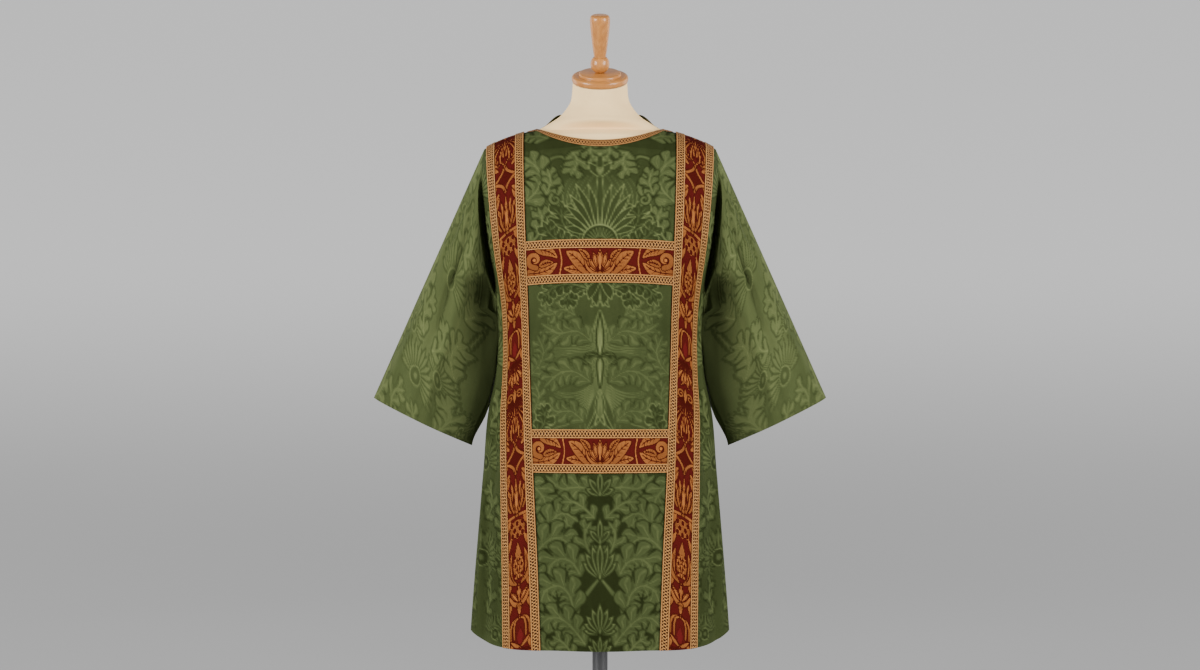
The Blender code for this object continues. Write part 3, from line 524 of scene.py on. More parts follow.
# ---- Drawing ornament, in millimetres, with y downwards ----
def bend(points, count=8):
    """A smooth curve through points, whatever number of values each has."""
    points = np.array(points, float)
    if len(points) < 3:
        return points
    ends = np.vstack([2 * points[0] - points[1], points, 2 * points[-1] - points[-2]])
    t = np.linspace(0, 1, count, endpoint=False)[:, None]
    out = []
    for a, b, c, d in zip(ends[:-3], ends[1:-2], ends[2:-1], ends[3:]):
        square, cube = 2 * a - 5 * b + 4 * c - d, 3 * b - a - 3 * c + d
        out.extend(0.5 * (2 * b + (c - a) * t + square * t * t + cube * t ** 3))
    return np.array([*out, points[-1]])


class Canvas:
    """Half of a flat design, mirrored about its left edge, with a tone and a figure at each cell."""

    def __init__(self, width, height, cell, ground, mirrored_right=False, wraps=False):
        self.width, self.height, self.cell = width, height, cell
        self.columns, self.rows = int(round(width / cell)) + 1, int(round(height / cell)) + 1
        self.value = np.tile(np.array(ground, float), (self.rows, self.columns, 1))
        self.mirrored_right, self.wraps = mirrored_right, wraps

    def copies(self, path):
        found = [path, path * (-1, 1, 1)]
        if self.mirrored_right:
            found.append(path * (-1, 1, 1) + (2 * self.width, 0, 0))
        if self.wraps:
            found += [one + (0, shift, 0) for one in list(found) for shift in (-self.height, self.height)]
        return found

    def window(self, path, margin):
        """The cells near a stroke, or None where it misses the canvas."""
        reach = path[:, 2].max() + margin
        low = np.floor((path[:, :2].min(axis=0) - reach) / self.cell).astype(int)
        high = np.ceil((path[:, :2].max(axis=0) + reach) / self.cell).astype(int) + 1
        x0, y0 = np.maximum(low, 0)
        x1, y1 = np.minimum(high, (self.columns, self.rows))
        return (slice(y0, y1), slice(x0, x1)) if x0 < x1 and y0 < y1 else None

    def blend(self, window, amount, value):
        amount = np.clip(amount, 0, 1)[..., None]
        self.value[window] = self.value[window] * (1 - amount) + value * amount

    def stroke(self, path, base, tip=None, crown=0.0, edge=None, edge_width=1.2):
        """One tapered stroke: filled from base to tip, raised in tone along its middle, and outlined."""
        base = np.array(base, float)
        tip = base if tip is None else np.array(tip, float)
        for one in self.copies(bend(path)):
            window = self.window(one, edge_width + 2 * self.cell)
            if window is None:
                continue
            y, x = np.mgrid[window] * self.cell
            best, radius, share = nearest(one, x, y)
            value = base + (tip - base) * share[..., None]
            value[..., 0] += crown * (np.clip(-best / radius, 0, 1) ** 0.6 - 0.6)
            self.blend(window, 0.5 - best / self.cell, value)
            if edge is not None:
                self.blend(window, 0.5 - (np.abs(best) - edge_width / 2) / self.cell, np.array(edge, float))

    def shape(self, paths, edge, edge_width, **look):
        """Strokes that run into one another, inside one outline."""
        for path in paths:
            self.stroke([(x, y, radius + edge_width) for x, y, radius in path], base=edge)
        for path in paths:
            self.stroke(path, **look)

    def softened(self, step):
        """The design for a mesh of this step: what is finer runs into its surroundings."""
        reach = max(1, int(round(step / self.cell * 0.45)))
        other = Canvas(self.width, self.height, self.cell, (0.0, 0.0), self.mirrored_right, self.wraps)
        other.value = self.value
        for axis in (0, 1):
            padded = np.pad(other.value, [(reach * (a == axis),) * 2 for a in range(3)],
                            mode="wrap" if axis == 0 and self.wraps else "reflect")
            places = np.arange(self.value.shape[axis])
            other.value = sum(np.take(padded, places + k, axis) for k in range(2 * reach + 1))
            other.value /= 2 * reach + 1
        return other

    def sample(self, x, y):
        """The design's value at any place, read between its cells."""
        x = np.abs(x)
        if self.mirrored_right:
            x = self.width - np.abs(x % (2 * self.width) - self.width)
        if self.wraps:
            y = y % self.height
        fx = np.clip(x / self.cell, 0, self.columns - 1.001)
        fy = np.clip(y / self.cell, 0, self.rows - 1.001)
        ix, iy = fx.astype(int), fy.astype(int)
        tx, ty = (fx - ix)[..., None], (fy - iy)[..., None]
        v = self.value
        return ((v[iy, ix] * (1 - tx) + v[iy, ix + 1] * tx) * (1 - ty)
                + (v[iy + 1, ix] * (1 - tx) + v[iy + 1, ix + 1] * tx) * ty)


def turned(at, angle, length):
    """The place this far from another, at an angle in degrees from straight up, clockwise."""
    a = math.radians(angle)
    return at[0] + math.sin(a) * length, at[1] - math.cos(a) * length


def at_share(path, share, s):
    return np.array([np.interp(s, share, path[:, axis]) for axis in (0, 1)])


def heading(path, share, first, last):
    way = at_share(path, share, last) - at_share(path, share, first)
    return way / np.hypot(*way)


# A leaf's lobe is a stroke through its root and three places: how far out and on, and the radius at each.
LOBE = ((0.36, 0.02), (0.64, 0.22), (0.72, 0.56))
LOBE_RADII = (0.20, 0.36, 0.38, 0.18)
FIRST_LOBE, LOBE_SPAN = 0.12, 0.74
LOBE_LEAN = 0.06
TIP_START = 0.92
VEIN_RADII = (0.4, 0.8, 0.4)


def leaf(canvas, spine, reach, lobes, look, veins, rib=1.5):
    """An acanthus leaf on a bent spine from root to tip: round lobes that run together, veins and a rib."""
    path = bend(spine, 12)
    share = np.concatenate([[0.0], np.cumsum(np.hypot(*np.diff(path, axis=0).T))])
    share /= share[-1]
    strokes, lines, clefts = [], [], []
    for k in range(lobes):
        s = FIRST_LOBE + LOBE_SPAN * k / (lobes - 1)
        size = reach * (0.50 + 0.50 * math.sin(math.pi * (0.14 + 0.74 * s)))
        way = heading(path, share, s - LOBE_LEAN, s + LOBE_LEAN)
        here, root = at_share(path, share, s), at_share(path, share, s - 2 * LOBE_LEAN)
        for hand in (-1, 1):
            out = np.array([-way[1], way[0]]) * hand
            places = [root] + [here + out * size * a + way * size * b for a, b in LOBE]
            strokes.append([(*p, size * r) for p, r in zip(places, LOBE_RADII)])
            lines.append([(*p, r) for p, r in zip(places, VEIN_RADII)])
            if k:
                far = here + out * size * 0.92 - way * size * 0.10
                near = here + out * size * 0.34 - way * size * 0.22
                clefts.append([(*far, size * 0.07), (*near, size * 0.03)])
    early, late = at_share(path, share, 0.7), at_share(path, share, TIP_START)
    end = path[-1] + heading(path, share, TIP_START, 1.0) * reach * 0.24
    strokes.append([(*early, reach * 0.16), (*late, reach * 0.22), (*end, reach * 0.05)])
    rib_points = list(zip(path[::6], share[::6]))
    strokes.append([(*p, reach * 0.18 * math.sin(math.pi * (0.12 + 0.76 * s))) for p, s in rib_points])
    canvas.shape(strokes, **look)
    for cleft in clefts:
        canvas.stroke(cleft, base=look["edge"])
    for line in lines + [[(*p, rib * (1 - 0.7 * s)) for p, s in rib_points]]:
        canvas.stroke(line, base=veins)


def petals(canvas, at, start, angles, lengths, wide, look, vein=None, swell=0.55):
    """Petals that spread from one place, the outer ones first. Angles run from straight up."""
    for a, length in sorted(zip(angles, lengths), key=lambda petal: -abs(petal[0])):
        root, middle = turned(at, a, start), turned(at, a * 1.03, start + length * swell)
        tip = turned(at, a * 1.10, start + length)
        canvas.stroke([(*root, wide * 0.30), (*middle, wide), (*tip, wide * 0.10)], **look)
        if vein is not None:
            end = turned(at, a * 1.06, start + length * 0.86)
            radii = [max(wide * share, 0.4) for share in (0.156, 0.52)]
            canvas.stroke([(*root, radii[0]), (*middle, radii[1]), (*end, 0.4)], **vein)


def hatching(canvas, at, start, length, angles, wide, look):
    """Fine rays in a fan."""
    for a in angles:
        canvas.stroke([(*turned(at, a, start), wide * 0.5), (*turned(at, a, start + length), wide)], **look)


def spiral(at, radius, turns, start, hand, thick, thin):
    """Points of a volute that winds in to its middle."""
    out = []
    for t in np.linspace(0, 1, int(turns * 8) + 1):
        r = radius * (1 - 0.80 * t)
        a = math.radians(start) + hand * t * turns * 2 * math.pi
        out.append((at[0] + r * math.cos(a), at[1] + r * math.sin(a), thick + (thin - thick) * t))
    return out


def dot(canvas, x, y, radius, **look):
    canvas.stroke([(x, y, radius), (x, y + 0.1, radius)], **look)


# Tones of the damask: how light the silk is, and how much of the figure's weave shows.
GROUND, FIGURE, FIGURE_TIP, SHADE, LIGHT = (0.33, 0.0), (0.47, 1.0), (0.60, 1.0), (0.06, 0.3), (0.86, 1.0)
DAMASK_LOOK = dict(base=FIGURE, tip=FIGURE_TIP, crown=0.14, edge=SHADE, edge_width=1.6)
DARK_LOOK = dict(base=(0.20, 0.6), tip=(0.26, 0.6), crown=0.08, edge=LIGHT, edge_width=1.8)
STEM_LOOK = dict(base=FIGURE_TIP, tip=FIGURE, crown=0.14, edge=SHADE, edge_width=1.8)
SOFT_LOOK = dict(base=(0.44, 0.8), tip=(0.54, 0.9), crown=0.12, edge=(0.26, 0.4), edge_width=1.4)
LINE_LOOK = dict(base=(0.74, 1.0), tip=(0.56, 1.0))
DAMASK_WIDTH, DAMASK_HEIGHT = 280, 1060
# The ground's tone down the design, and the whole design's share of its tone, both at these heights. That
# share is painted shade: it darkens the lower part of the panels, where less light falls.
GROUND_HEIGHTS = (0, 60, 160, 300, 450, 600, 700, 980, 1060)
GROUND_TONES = (0.24, 0.30, 0.42, 0.36, 0.44, 0.38, 0.12, 0.08, 0.18)
PAINTED_SHADE_HEIGHTS, PAINTED_SHADE_SHARES = (0, 600, 670, 1000, 1060), (1.0, 1.0, 0.88, 0.86, 1.0)
# The outer ground's tone, from where and over what it begins.
OUTER_TONE, OUTER_START, OUTER_OVER = 0.38, 150, 30
# Leaves: the spine's points, how far the lobes reach, and how many there are.
LEAVES = (
    (((150, 118), (124, 96), (112, 64), (128, 34), (146, 20)), 30, 6),
    (((104, 104), (92, 78), (96, 52)), 18, 4),
    (((50, 14), (40, 36), (50, 62)), 20, 4),
    (((20, -10), (18, 14), (8, 36)), 16, 3),
    (((146, 206), (128, 190), (116, 160), (122, 136)), 20, 4),
    (((14, 704), (44, 698), (78, 700), (104, 680)), 26, 5),
    (((146, 690), (128, 704), (112, 726), (116, 752)), 26, 5),
    (((140, 790), (112, 782), (90, 758), (70, 750), (50, 762)), 28, 6),
    (((12, 760), (30, 742), (52, 728), (74, 728)), 20, 4),
    (((146, 846), (126, 826), (106, 806), (82, 800), (60, 812)), 30, 6),
    (((12, 842), (26, 818), (30, 790), (20, 772)), 20, 4),
    (((40, 872), (56, 848), (80, 842), (100, 856), (104, 880)), 30, 6),
    (((146, 906), (134, 884), (130, 860)), 22, 4),
    (((52, 944), (62, 912), (84, 896), (110, 906), (120, 930)), 30, 6),
    (((146, 972), (138, 948), (146, 924)), 20, 4),
    (((30, 1012), (52, 984), (78, 962), (104, 962), (122, 978)), 26, 6),
    (((100, 1030), (122, 1014), (146, 1010)), 22, 4),
    (((56, 1034), (72, 1012), (92, 1000)), 18, 4),
    # Beside the shells of the outer axis.
    (((218, 50), (206, 26), (218, 0), (240, -10)), 22, 5),
    (((210, 190), (192, 166), (190, 136), (208, 112)), 22, 5),
    (((262, 200), (244, 180), (240, 154), (252, 136)), 18, 4),
    (((196, 318), (210, 294), (206, 266), (190, 250)), 22, 5),
    (((270, 376), (252, 354), (250, 328), (266, 310)), 20, 4),
    (((206, 440), (190, 416), (192, 386), (212, 368)), 22, 5),
    (((196, 560), (212, 536), (210, 506), (194, 486)), 22, 5),
    (((262, 580), (246, 558), (244, 530), (258, 512)), 18, 4),
    (((204, 684), (188, 660), (190, 630), (208, 612)), 22, 5),
    (((196, 806), (210, 782), (208, 752), (192, 732)), 22, 5),
    (((268, 768), (250, 746), (250, 720), (266, 702)), 20, 4),
    (((206, 930), (190, 906), (192, 876), (210, 858)), 22, 5),
    (((262, 960), (246, 938), (244, 912), (258, 892)), 18, 4),
)
DARK_LEAVES = (
    (((40, 208), (62, 184), (76, 158), (74, 130)), 30, 4),
    (((40, 214), (70, 206), (98, 190), (112, 166)), 22, 5),
    (((10, 296), (36, 292), (60, 306), (66, 334)), 20, 4),
    (((30, 296), (66, 288), (100, 298), (118, 326)), 20, 5),
    (((146, 600), (124, 584), (112, 560), (120, 536)), 20, 4),
)
SOFT_LEAVES = (
    (((18, 404), (48, 384), (84, 388), (118, 370)), 28, 5),
    (((50, 352), (78, 340), (104, 350), (126, 338)), 20, 4),
    (((146, 470), (128, 452), (118, 424), (130, 396)), 24, 5),
    (((20, 486), (52, 466), (84, 470), (110, 492)), 28, 5),
    (((34, 566), (58, 546), (88, 546), (112, 528)), 24, 5),
    (((146, 548), (130, 530), (128, 508), (138, 488)), 18, 4),
)
# Stems, with a radius at each point.
STEMS = (
    ((94, 116, 5), (74, 96, 6), (78, 68, 6.6), (96, 50, 6),
     (90, 28, 5), (70, 22, 4.4), (60, 36, 4), (70, 46, 3)),
    ((186, 0, 3), (172, 120, 3.4), (196, 260, 3.4), (172, 400, 3.4), (196, 540, 3.4),
     (170, 680, 3.4), (196, 800, 3.4), (172, 930, 3.4), (186, 1060, 3)),
    ((4, 884, 3.6), (22, 906, 5.2), (42, 934, 5.6), (44, 970, 5),
     (26, 998, 4.4), (6, 1010, 3.6)),
    ((24, 452, 1.8), (44, 440, 2.8), (64, 448, 3), (70, 470, 2.6),
     (56, 482, 2.2), (46, 470, 1.6)),
    ((50, 330, 1.6), (62, 350, 3.4), (56, 374, 3.6), (40, 372, 2.6),
     (40, 356, 1.8)),
)
# Bundles of fine lines, each spread evenly between two guides.
FLOWS = (
    (((6, 352), (18, 384), (52, 398), (104, 372)),
     ((5, 406), (20, 424), (58, 428), (122, 440)), 7),
    (((7, 476), (30, 502), (74, 510), (120, 486)),
     ((6, 506), (22, 538), (30, 566), (30, 596)), 9),
    (((44, 520), (78, 536), (104, 530), (140, 508)),
     ((40, 556), (66, 572), (92, 580), (112, 602)), 5),
    (((12, 452), (30, 446), (60, 450), (96, 474)),
     ((12, 474), (34, 486), (60, 490), (88, 492)), 4),
    (((34, 168), (40, 130), (28, 96), (10, 66)),
     ((62, 150), (70, 122), (66, 92), (52, 72)), 5),
    (((96, 150), (100, 120), (112, 86), (108, 52)),
     ((134, 170), (138, 130), (146, 90), (140, 44)), 5),
)
# Shells of the outer axis and between the axes: place, size and lean.
SHELLS = ((280, 85, 62, 0), (228, 236, 46, -28), (280, 440, 66, 0), (226, 352, 40, 24),
          (228, 600, 46, -24), (280, 655, 58, 0), (226, 858, 48, 24), (280, 850, 62, 0),
          (224, 1000, 44, -24), (150, 270, 40, -20), (150, 640, 40, 20))


def shell(c, x, y, size, lean):
    """A shell of fine rays over a small disc."""
    spread = range(-98, 99, 14)
    reach = [size * (1.0 - 0.22 * (a / 98) ** 2) * 0.72 for a in spread]
    angles = [lean + a for a in spread]
    petals(c, (x, y), size * 0.28, angles, reach, size * 0.095, DAMASK_LOOK)
    hatching(c, (x, y), size * 0.34, size * 0.62, angles, 1.2, LINE_LOOK)
    dot(c, x, y, size * 0.27, base=(0.22, 0.5), crown=0.14, edge=LIGHT, edge_width=2.2)
    dot(c, x, y, size * 0.10, base=FIGURE_TIP)


def flow(c, first, second, count):
    first, second = bend(first, 6), bend(second, 6)
    for t in np.linspace(0, 1, count):
        line = first * (1 - t) + second * t
        share = np.linspace(0, 1, len(line))
        radius = 1.3 * np.sin(math.pi * (0.10 + 0.84 * share))
        c.stroke(np.column_stack([line, radius])[::3], **LINE_LOOK)


def draw_damask():
    """A tall design of palmettes, shells and acanthus on a mirrored repeat of 0.56 by 1.06 metres."""
    c = Canvas(DAMASK_WIDTH, DAMASK_HEIGHT, 0.8, GROUND, mirrored_right=True, wraps=True)
    heights = np.arange(c.rows) * c.cell
    tones = np.interp(heights, GROUND_HEIGHTS, GROUND_TONES)[:, None]
    outer = smooth((np.arange(c.columns) * c.cell - OUTER_START) / OUTER_OVER)[None, :]
    c.value[..., 0] = tones * (1 - outer) + OUTER_TONE * outer
    for first, second, count in FLOWS:
        flow(c, first, second, count)
    for stem in STEMS:
        c.stroke(stem, **STEM_LOOK)
    for x, y, size, lean in SHELLS:
        shell(c, x, y, size, lean)
    for spine, reach, lobes in LEAVES:
        leaf(c, spine, reach * 1.18, max(3, lobes - 1), DAMASK_LOOK, veins=(0.74, 1.0))
    for spine, reach, lobes in SOFT_LEAVES:
        leaf(c, spine, reach, lobes, SOFT_LOOK, veins=(0.60, 1.0), rib=1.1)
    for spine, reach, lobes in DARK_LEAVES:
        leaf(c, spine, reach, lobes, DARK_LOOK, veins=(0.66, 1.0))
    c.stroke(spiral((86, 116), 12, 1.2, -60, 1, 4.6, 3), **STEM_LOOK)
    # The crown's palmette over a half disc, with a bud above.
    petals(c, (0, 72), 2, (-30, 0, 30), (36, 52, 36), 6.6, DARK_LOOK)
    angles = (-60, -48, -37, -27, -18, -9, 0, 9, 18, 27, 37, 48, 60)
    reaches = (40, 52, 64, 78, 92, 84, 120, 84, 92, 78, 64, 52, 40)
    petals(c, (0, 206), 36, angles, reaches, 6.2, DARK_LOOK)
    hatching(c, (0, 206), 50, 50, (-22, -13, -4, 4, 13, 22), 1.1, LINE_LOOK)
    dot(c, 0, 206, 36, base=(0.20, 0.5), crown=0.10, edge=LIGHT, edge_width=2.8)
    hatching(c, (0, 206), 12, 18, range(-84, 85, 14), 1.5, LINE_LOOK)
    # The middle's dark lobes and stem of drops.
    petals(c, (0, 282), 4, (180, 158, 136, -158, -136), (52, 48, 40, 48, 40), 8.4, DARK_LOOK)
    drop = dict(base=FIGURE_TIP, tip=LIGHT, crown=0.14, edge=SHADE, edge_width=2)
    for high, middle, low, wide in ((346, 398, 436, 7.4), (436, 452, 500, 6)):
        c.stroke([(0, high, 0.8), (0, middle, wide), (0, low, 1.4)], **drop)
        for gap in (5, 10):
            c.stroke([(1.5, high - gap * 0.4, 0.8), (wide + gap, middle, 1.2), (2, low + gap, 0.8)],
                     **LINE_LOOK)
    for hand in (6, 16):
        c.stroke([(1, 436, 1.4), (hand + 6, 430, 2.6), (hand + 16, 438, 0.8)], **STEM_LOOK)
    petals(c, (0, 500), 4, (180, 170, -170), (88, 70, 70), 6.4, DARK_LOOK, LINE_LOOK)
    # The tulip among the acanthus, and the palmette at the foot.
    petals(c, (0, 884), 4, (-40, -26, -12, 12, 26, 40, 0), (46, 60, 70, 70, 60, 46, 74),
           8.6, DAMASK_LOOK, DARK_LOOK)
    petals(c, (0, 812), 2, (-34, 0, 34), (34, 50, 34), 7, DAMASK_LOOK, DARK_LOOK)
    petals(c, (0, 716), 2, (-58, -30, 0, 30, 58), (30, 42, 50, 42, 30), 7.6, DAMASK_LOOK, DARK_LOOK)
    petals(c, (0, 992), 3, (-72, -52, -34, -16, 16, 34, 52, 72, 0),
           (30, 36, 44, 52, 52, 44, 36, 30, 60), 7.4, DAMASK_LOOK, DARK_LOOK)
    petals(c, (0, 1040), 3, (-60, -40, -20, 0, 20, 40, 60), (24, 34, 40, 44, 40, 34, 24),
           5.2, DAMASK_LOOK, DARK_LOOK)
    # Painted shade: the whole design is made darker over its lower part.
    c.value[..., 0] *= np.interp(heights, PAINTED_SHADE_HEIGHTS, PAINTED_SHADE_SHARES)[:, None]
    return c


# Tones of the brocade: how much gold shows, and how light it is.
RED, WINE, PALE, ROSE = (0.0, 0.55), (0.0, 0.10), (1.0, 1.0), (0.0, 1.0)
GOLD_LOOK = dict(base=(1.0, 0.40), tip=(1.0, 0.80), edge=WINE, edge_width=1.5)
INNER_LOOK = dict(base=(1.0, 0.95), tip=(1.0, 0.75), edge=WINE, edge_width=1)
ORPHREY_REPEAT = 580


def draw_orphrey():
    """An upright candelabrum of common motifs: scrolls, petals, lozenges, flames, a cup and fans."""
    c = Canvas(24, ORPHREY_REPEAT, 0.4, RED, wraps=True)

    def gold(*path):
        c.stroke(path, **GOLD_LOOK)

    for k in range(14):
        low = (k + 0.5) * ORPHREY_REPEAT / 14
        gold((25, low + 14, 2), (21, low, 5.6), (13, low - 17, 0.8))
    # Scrolls, with rays and long petals that hang from them.
    petals(c, (0, 30), 6, (180, 166, 152, 139, 127), (84, 80, 66, 48, 36), 3.6, GOLD_LOOK,
           INNER_LOOK, swell=0.70)
    hatching(c, (0, 18), 6, 30, (180, 168, 156, 144, 131, 117, 102), 1.5, GOLD_LOOK)
    c.stroke(spiral((12, 14), 9.2, 1.3, 210, 1, 3, 1.6), **GOLD_LOOK)
    gold((0, 0, 2), (0, 14, 5), (0, 28, 1))
    # A lozenge with hollow sides.
    c.stroke([(0, 140, 14), (0, 140.2, 14)], base=(0.0, 0.30))
    for turn in (-1, 1):
        gold((0, 142 + turn * 30, 3), (5.4, 142 + turn * 16, 3.2),
             (17, 142 + turn * 4.5, 3.4), (26, 142 + turn * 1, 3.6))
        gold((24, 142 + turn * 34, 6), (16, 142 + turn * 26, 3))
    # Flames.
    for x, low, high, wide in ((18.5, 244, 196, 4.6), (10.5, 248, 184, 5.2)):
        gold((x - 4, low, 2.4), (x + 2, (low + high) / 2 + 6, wide),
             (x - 1, (low + high) / 2 - 14, wide * 0.7), (x + 1, high, 0.6))
        c.stroke([(x - 3, low - 6, 0.6), (x + 1, (low + high) / 2, 1.2), (x, high + 12, 0.4)], base=WINE)
    gold((0, 250, 4), (0, 222, 6.2), (0, 204, 4), (0, 178, 0.6))
    c.stroke([(0, 244, 1.6), (0, 222, 3.4), (0, 200, 0.6)], **INNER_LOOK)
    # A band over a lattice of lozenges.
    gold((0, 256, 3.6), (20, 256, 3.6))
    c.stroke([(0, 282, 18), (0, 282.2, 18)], base=(1.0, 0.30), edge=WINE, edge_width=1.4)
    for x, y in ((0, 272), (12.5, 272), (6.3, 284), (0, 296), (11.5, 293)):
        c.stroke([(x, y - 5.6, 0.6), (x, y, 4.2), (x, y + 5.6, 0.6)], base=(0.0, 0.25),
                 edge=(1.0, 0.85), edge_width=1)
    # A pomegranate between two leaves.
    gold((6, 392, 3), (18, 378, 6.2), (19.5, 352, 5.2), (13, 322, 0.8))
    c.stroke([(10, 388, 0.6), (18.5, 366, 1.2), (16.5, 336, 0.4)], base=WINE)
    c.stroke([(0, 376, 8), (0, 356, 12.5), (0, 334, 8), (0, 310, 1)],
             base=(1.0, 0.30), tip=(1.0, 0.65), edge=WINE, edge_width=1.4)
    for row in range(5):
        for place in range(3):
            x, y = (place + 0.5 * (row % 2)) * 6.6, 376 - row * 9
            if (x / 10.5) ** 2 + ((y - 357) / 26) ** 2 < 1:
                c.stroke([(x, y + 4, 2), (x, y - 4, 0.6)], base=(1.0, 0.95), edge=WINE, edge_width=1)
    # A cup with points.
    petals(c, (0, 432), 2, (-58, -30, 0, 30, 58), (26, 34, 40, 34, 26), 5, GOLD_LOOK, INNER_LOOK)
    gold((0, 436, 6), (12, 428, 4.4), (21, 412, 2.6))
    gold((0, 442, 5), (0, 452, 2.6))
    # Arches round a bud.
    for reach, wide in ((20, 3), (12, 2.6)):
        gold((reach, 500, wide * 0.8), (reach, 478, wide), (reach * 0.72, 464, wide),
             (0, 464 - reach * 0.28, wide))
    c.stroke([(0, 508, 5), (0, 496, 6.8), (0, 480, 1)], base=ROSE, edge=WINE, edge_width=1.2)
    gold((0, 520, 2), (10, 512, 3.8), (20.5, 500, 1.2))
    # A fan of fine rays, and pointed leaves below.
    hatching(c, (0, 522), 4, 26, (180, 164, 148, 133, 119, 106), 1.6, GOLD_LOOK)
    petals(c, (0, 536), 8, (180, 156, 134), (36, 32, 26), 5, GOLD_LOOK, INNER_LOOK)
    return c


def broad_leaf(c, spine, wide):
    """A broad pointed leaf with veins."""
    path = bend(spine, 10)
    share = np.linspace(0, 1, len(path))
    radius = wide * np.sin(math.pi * (0.06 + 0.94 * share ** 0.8)) ** 0.8
    c.stroke([(*p, max(r, 0.5)) for p, r in zip(path[::3], radius[::3])], **GOLD_LOOK)
    for s in (0.22, 0.38, 0.54, 0.70):
        here = at_share(path, share, s)
        way = heading(path, share, s, s + 0.08)
        for hand in (-1, 1):
            out = np.array([-way[1], way[0]]) * hand
            end = here + (out * 0.72 + way * 0.70) * wide * (1.0 - 0.5 * s)
            c.stroke([(*here, 0.6), (*end, 0.4)], base=WINE)
    c.stroke([(*p, 0.8) for p in path[2:-3:3]], base=WINE)


def draw_apparel():
    """A lotus between broad leaves, thin divisions, and a scroll with a pearl at each end."""
    c = Canvas(150, 56, 0.4, RED)

    def gold(*path):
        c.stroke(path, **GOLD_LOOK)

    foot = 52
    # Ends.
    broad_leaf(c, [(152, 50), (128, 50), (104, 44), (84, 30)], 13.5)
    broad_leaf(c, [(130, 0), (114, 4), (98, 10), (84, 22)], 11)
    broad_leaf(c, [(122, 36), (108, 30), (92, 30)], 7.4)
    c.stroke(spiral((132.5, 23), 16.5, 1.1, 100, -1, 6.2, 4.2), **GOLD_LOOK)
    dot(c, 133, 23.5, 4.4, base=PALE, edge=WINE, edge_width=1.6)
    # Divisions.
    c.stroke([(80.5, 2, 2.2), (76.5, 28, 1.9), (80.5, foot + 2, 2.2)], base=PALE, edge=WINE, edge_width=1.2)
    # Broad leaves beside the lotus.
    broad_leaf(c, [(26, foot), (48, 46), (75, 42)], 11)
    broad_leaf(c, [(24, foot), (36, 34), (52, 18), (68, 8)], 14.2)
    broad_leaf(c, [(24, 26), (30, 14), (44, 3)], 7.4)
    # Lotus.
    petals(c, (0, foot), 2, (-58, -36, -17, 17, 36, 58, 0), (26, 35, 43, 43, 35, 26, 48),
           6.6, GOLD_LOOK, INNER_LOOK)
    gold((0, foot + 2, 5.4), (13, foot + 1, 4.2), (25, foot - 10, 3), (30, foot - 26, 1.4))
    return c


# ---- Meshes ----
def add_mesh(name, vertices, faces, material, sharp=40):
    mesh = bpy.data.meshes.new(name)
    mesh.from_pydata(vertices, [], faces)
    mesh.shade_smooth()
    mesh.set_sharp_from_angle(angle=math.radians(sharp))
    mesh.materials.append(material)
    thing = bpy.data.objects.new(name, mesh)
    bpy.context.scene.collection.objects.link(thing)
    return thing


def stands_for(thing, node):
    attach(thing, "root")
    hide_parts(node)


def grid_faces(index, closed=False):
    """Faces of a grid of vertex numbers, whose last column meets its first where it is closed."""
    left, right = (index, np.roll(index, -1, axis=1)) if closed else (index[:, :-1], index[:, 1:])
    return np.stack([left[:-1], left[1:], right[1:], right[:-1]], -1).reshape(-1, 4)


def picks(count, coarse, closed):
    """Every so many of a row's numbers, with the last one where the row is open."""
    chosen = np.arange(0, count, coarse)
    return chosen if closed else np.unique(np.append(chosen, count - 1))


OTHER_WAY = [0, 3, 2, 1]
REVERSE_TONE = (0.35, 0.0)
# The bake map: its margin, where the outside and inside start and how high they are, and the rims.
BAKE_MARGIN, BAKE_ACROSS = 0.01, 0.98
BAKE_OUTSIDE, BAKE_INSIDE = (0.14, 0.85), (0.01, 0.10)
BAKE_RIMS = (0.118, 0.118, 0.132, 0.132)


def cloth(name, outer, normals, thick, flat, material, values=None, closed=False, flip=False, coarse=6):
    """A wall of cloth: a fine outer grid, a coarse inner one and the rims between them.

    flat gives each outer point's place on the flat cloth, and values what the ornament is there.
    """
    rows, columns = outer.shape[:2]
    inner = outer - normals * thick
    picked = np.ix_(picks(rows, coarse, False), picks(columns, coarse, closed))
    index = np.arange(rows * columns).reshape(rows, columns)
    small = index.size + np.arange(inner[picked].size // 3).reshape(inner[picked].shape[:2])
    points = [outer.reshape(-1, 3), inner[picked].reshape(-1, 3)]
    places = [flat.reshape(-1, 2), flat[picked].reshape(-1, 2)]
    edges = [(index[0], False), (index[-1], True)]
    if not closed:
        edges += [(index[:, 0], True), (index[:, -1], False)]
    rims = []
    for line, other in edges:
        copies = sum(map(len, points)) + np.arange(2 * len(line)).reshape(2, -1)
        strip = grid_faces(copies, closed)[:, OTHER_WAY]
        rims.append(strip[:, ::-1] if other else strip)
        points += [outer.reshape(-1, 3)[line], inner.reshape(-1, 3)[line]]
        places += [flat.reshape(-1, 2)[line]] * 2
    parts = [grid_faces(index, closed), grid_faces(small, closed)[:, OTHER_WAY], np.concatenate(rims)]
    if not flip:
        parts = [part[:, ::-1] for part in parts]
    vertices, faces = np.concatenate(points), np.concatenate(parts)
    thing = add_mesh(name, vertices.tolist(), faces.tolist(), material)
    add_maps(thing.data, np.concatenate(places)[faces], [len(part) for part in parts], closed, columns)
    if values is not None:
        colours = np.tile((*REVERSE_TONE, 0.0, 1.0), (len(vertices), 1))
        colours[:index.size, :2] = values.reshape(-1, 2)
        layer = thing.data.attributes.new("ornament", "FLOAT_COLOR", "POINT")
        layer.data.foreach_set("color", colours.ravel())
    return thing


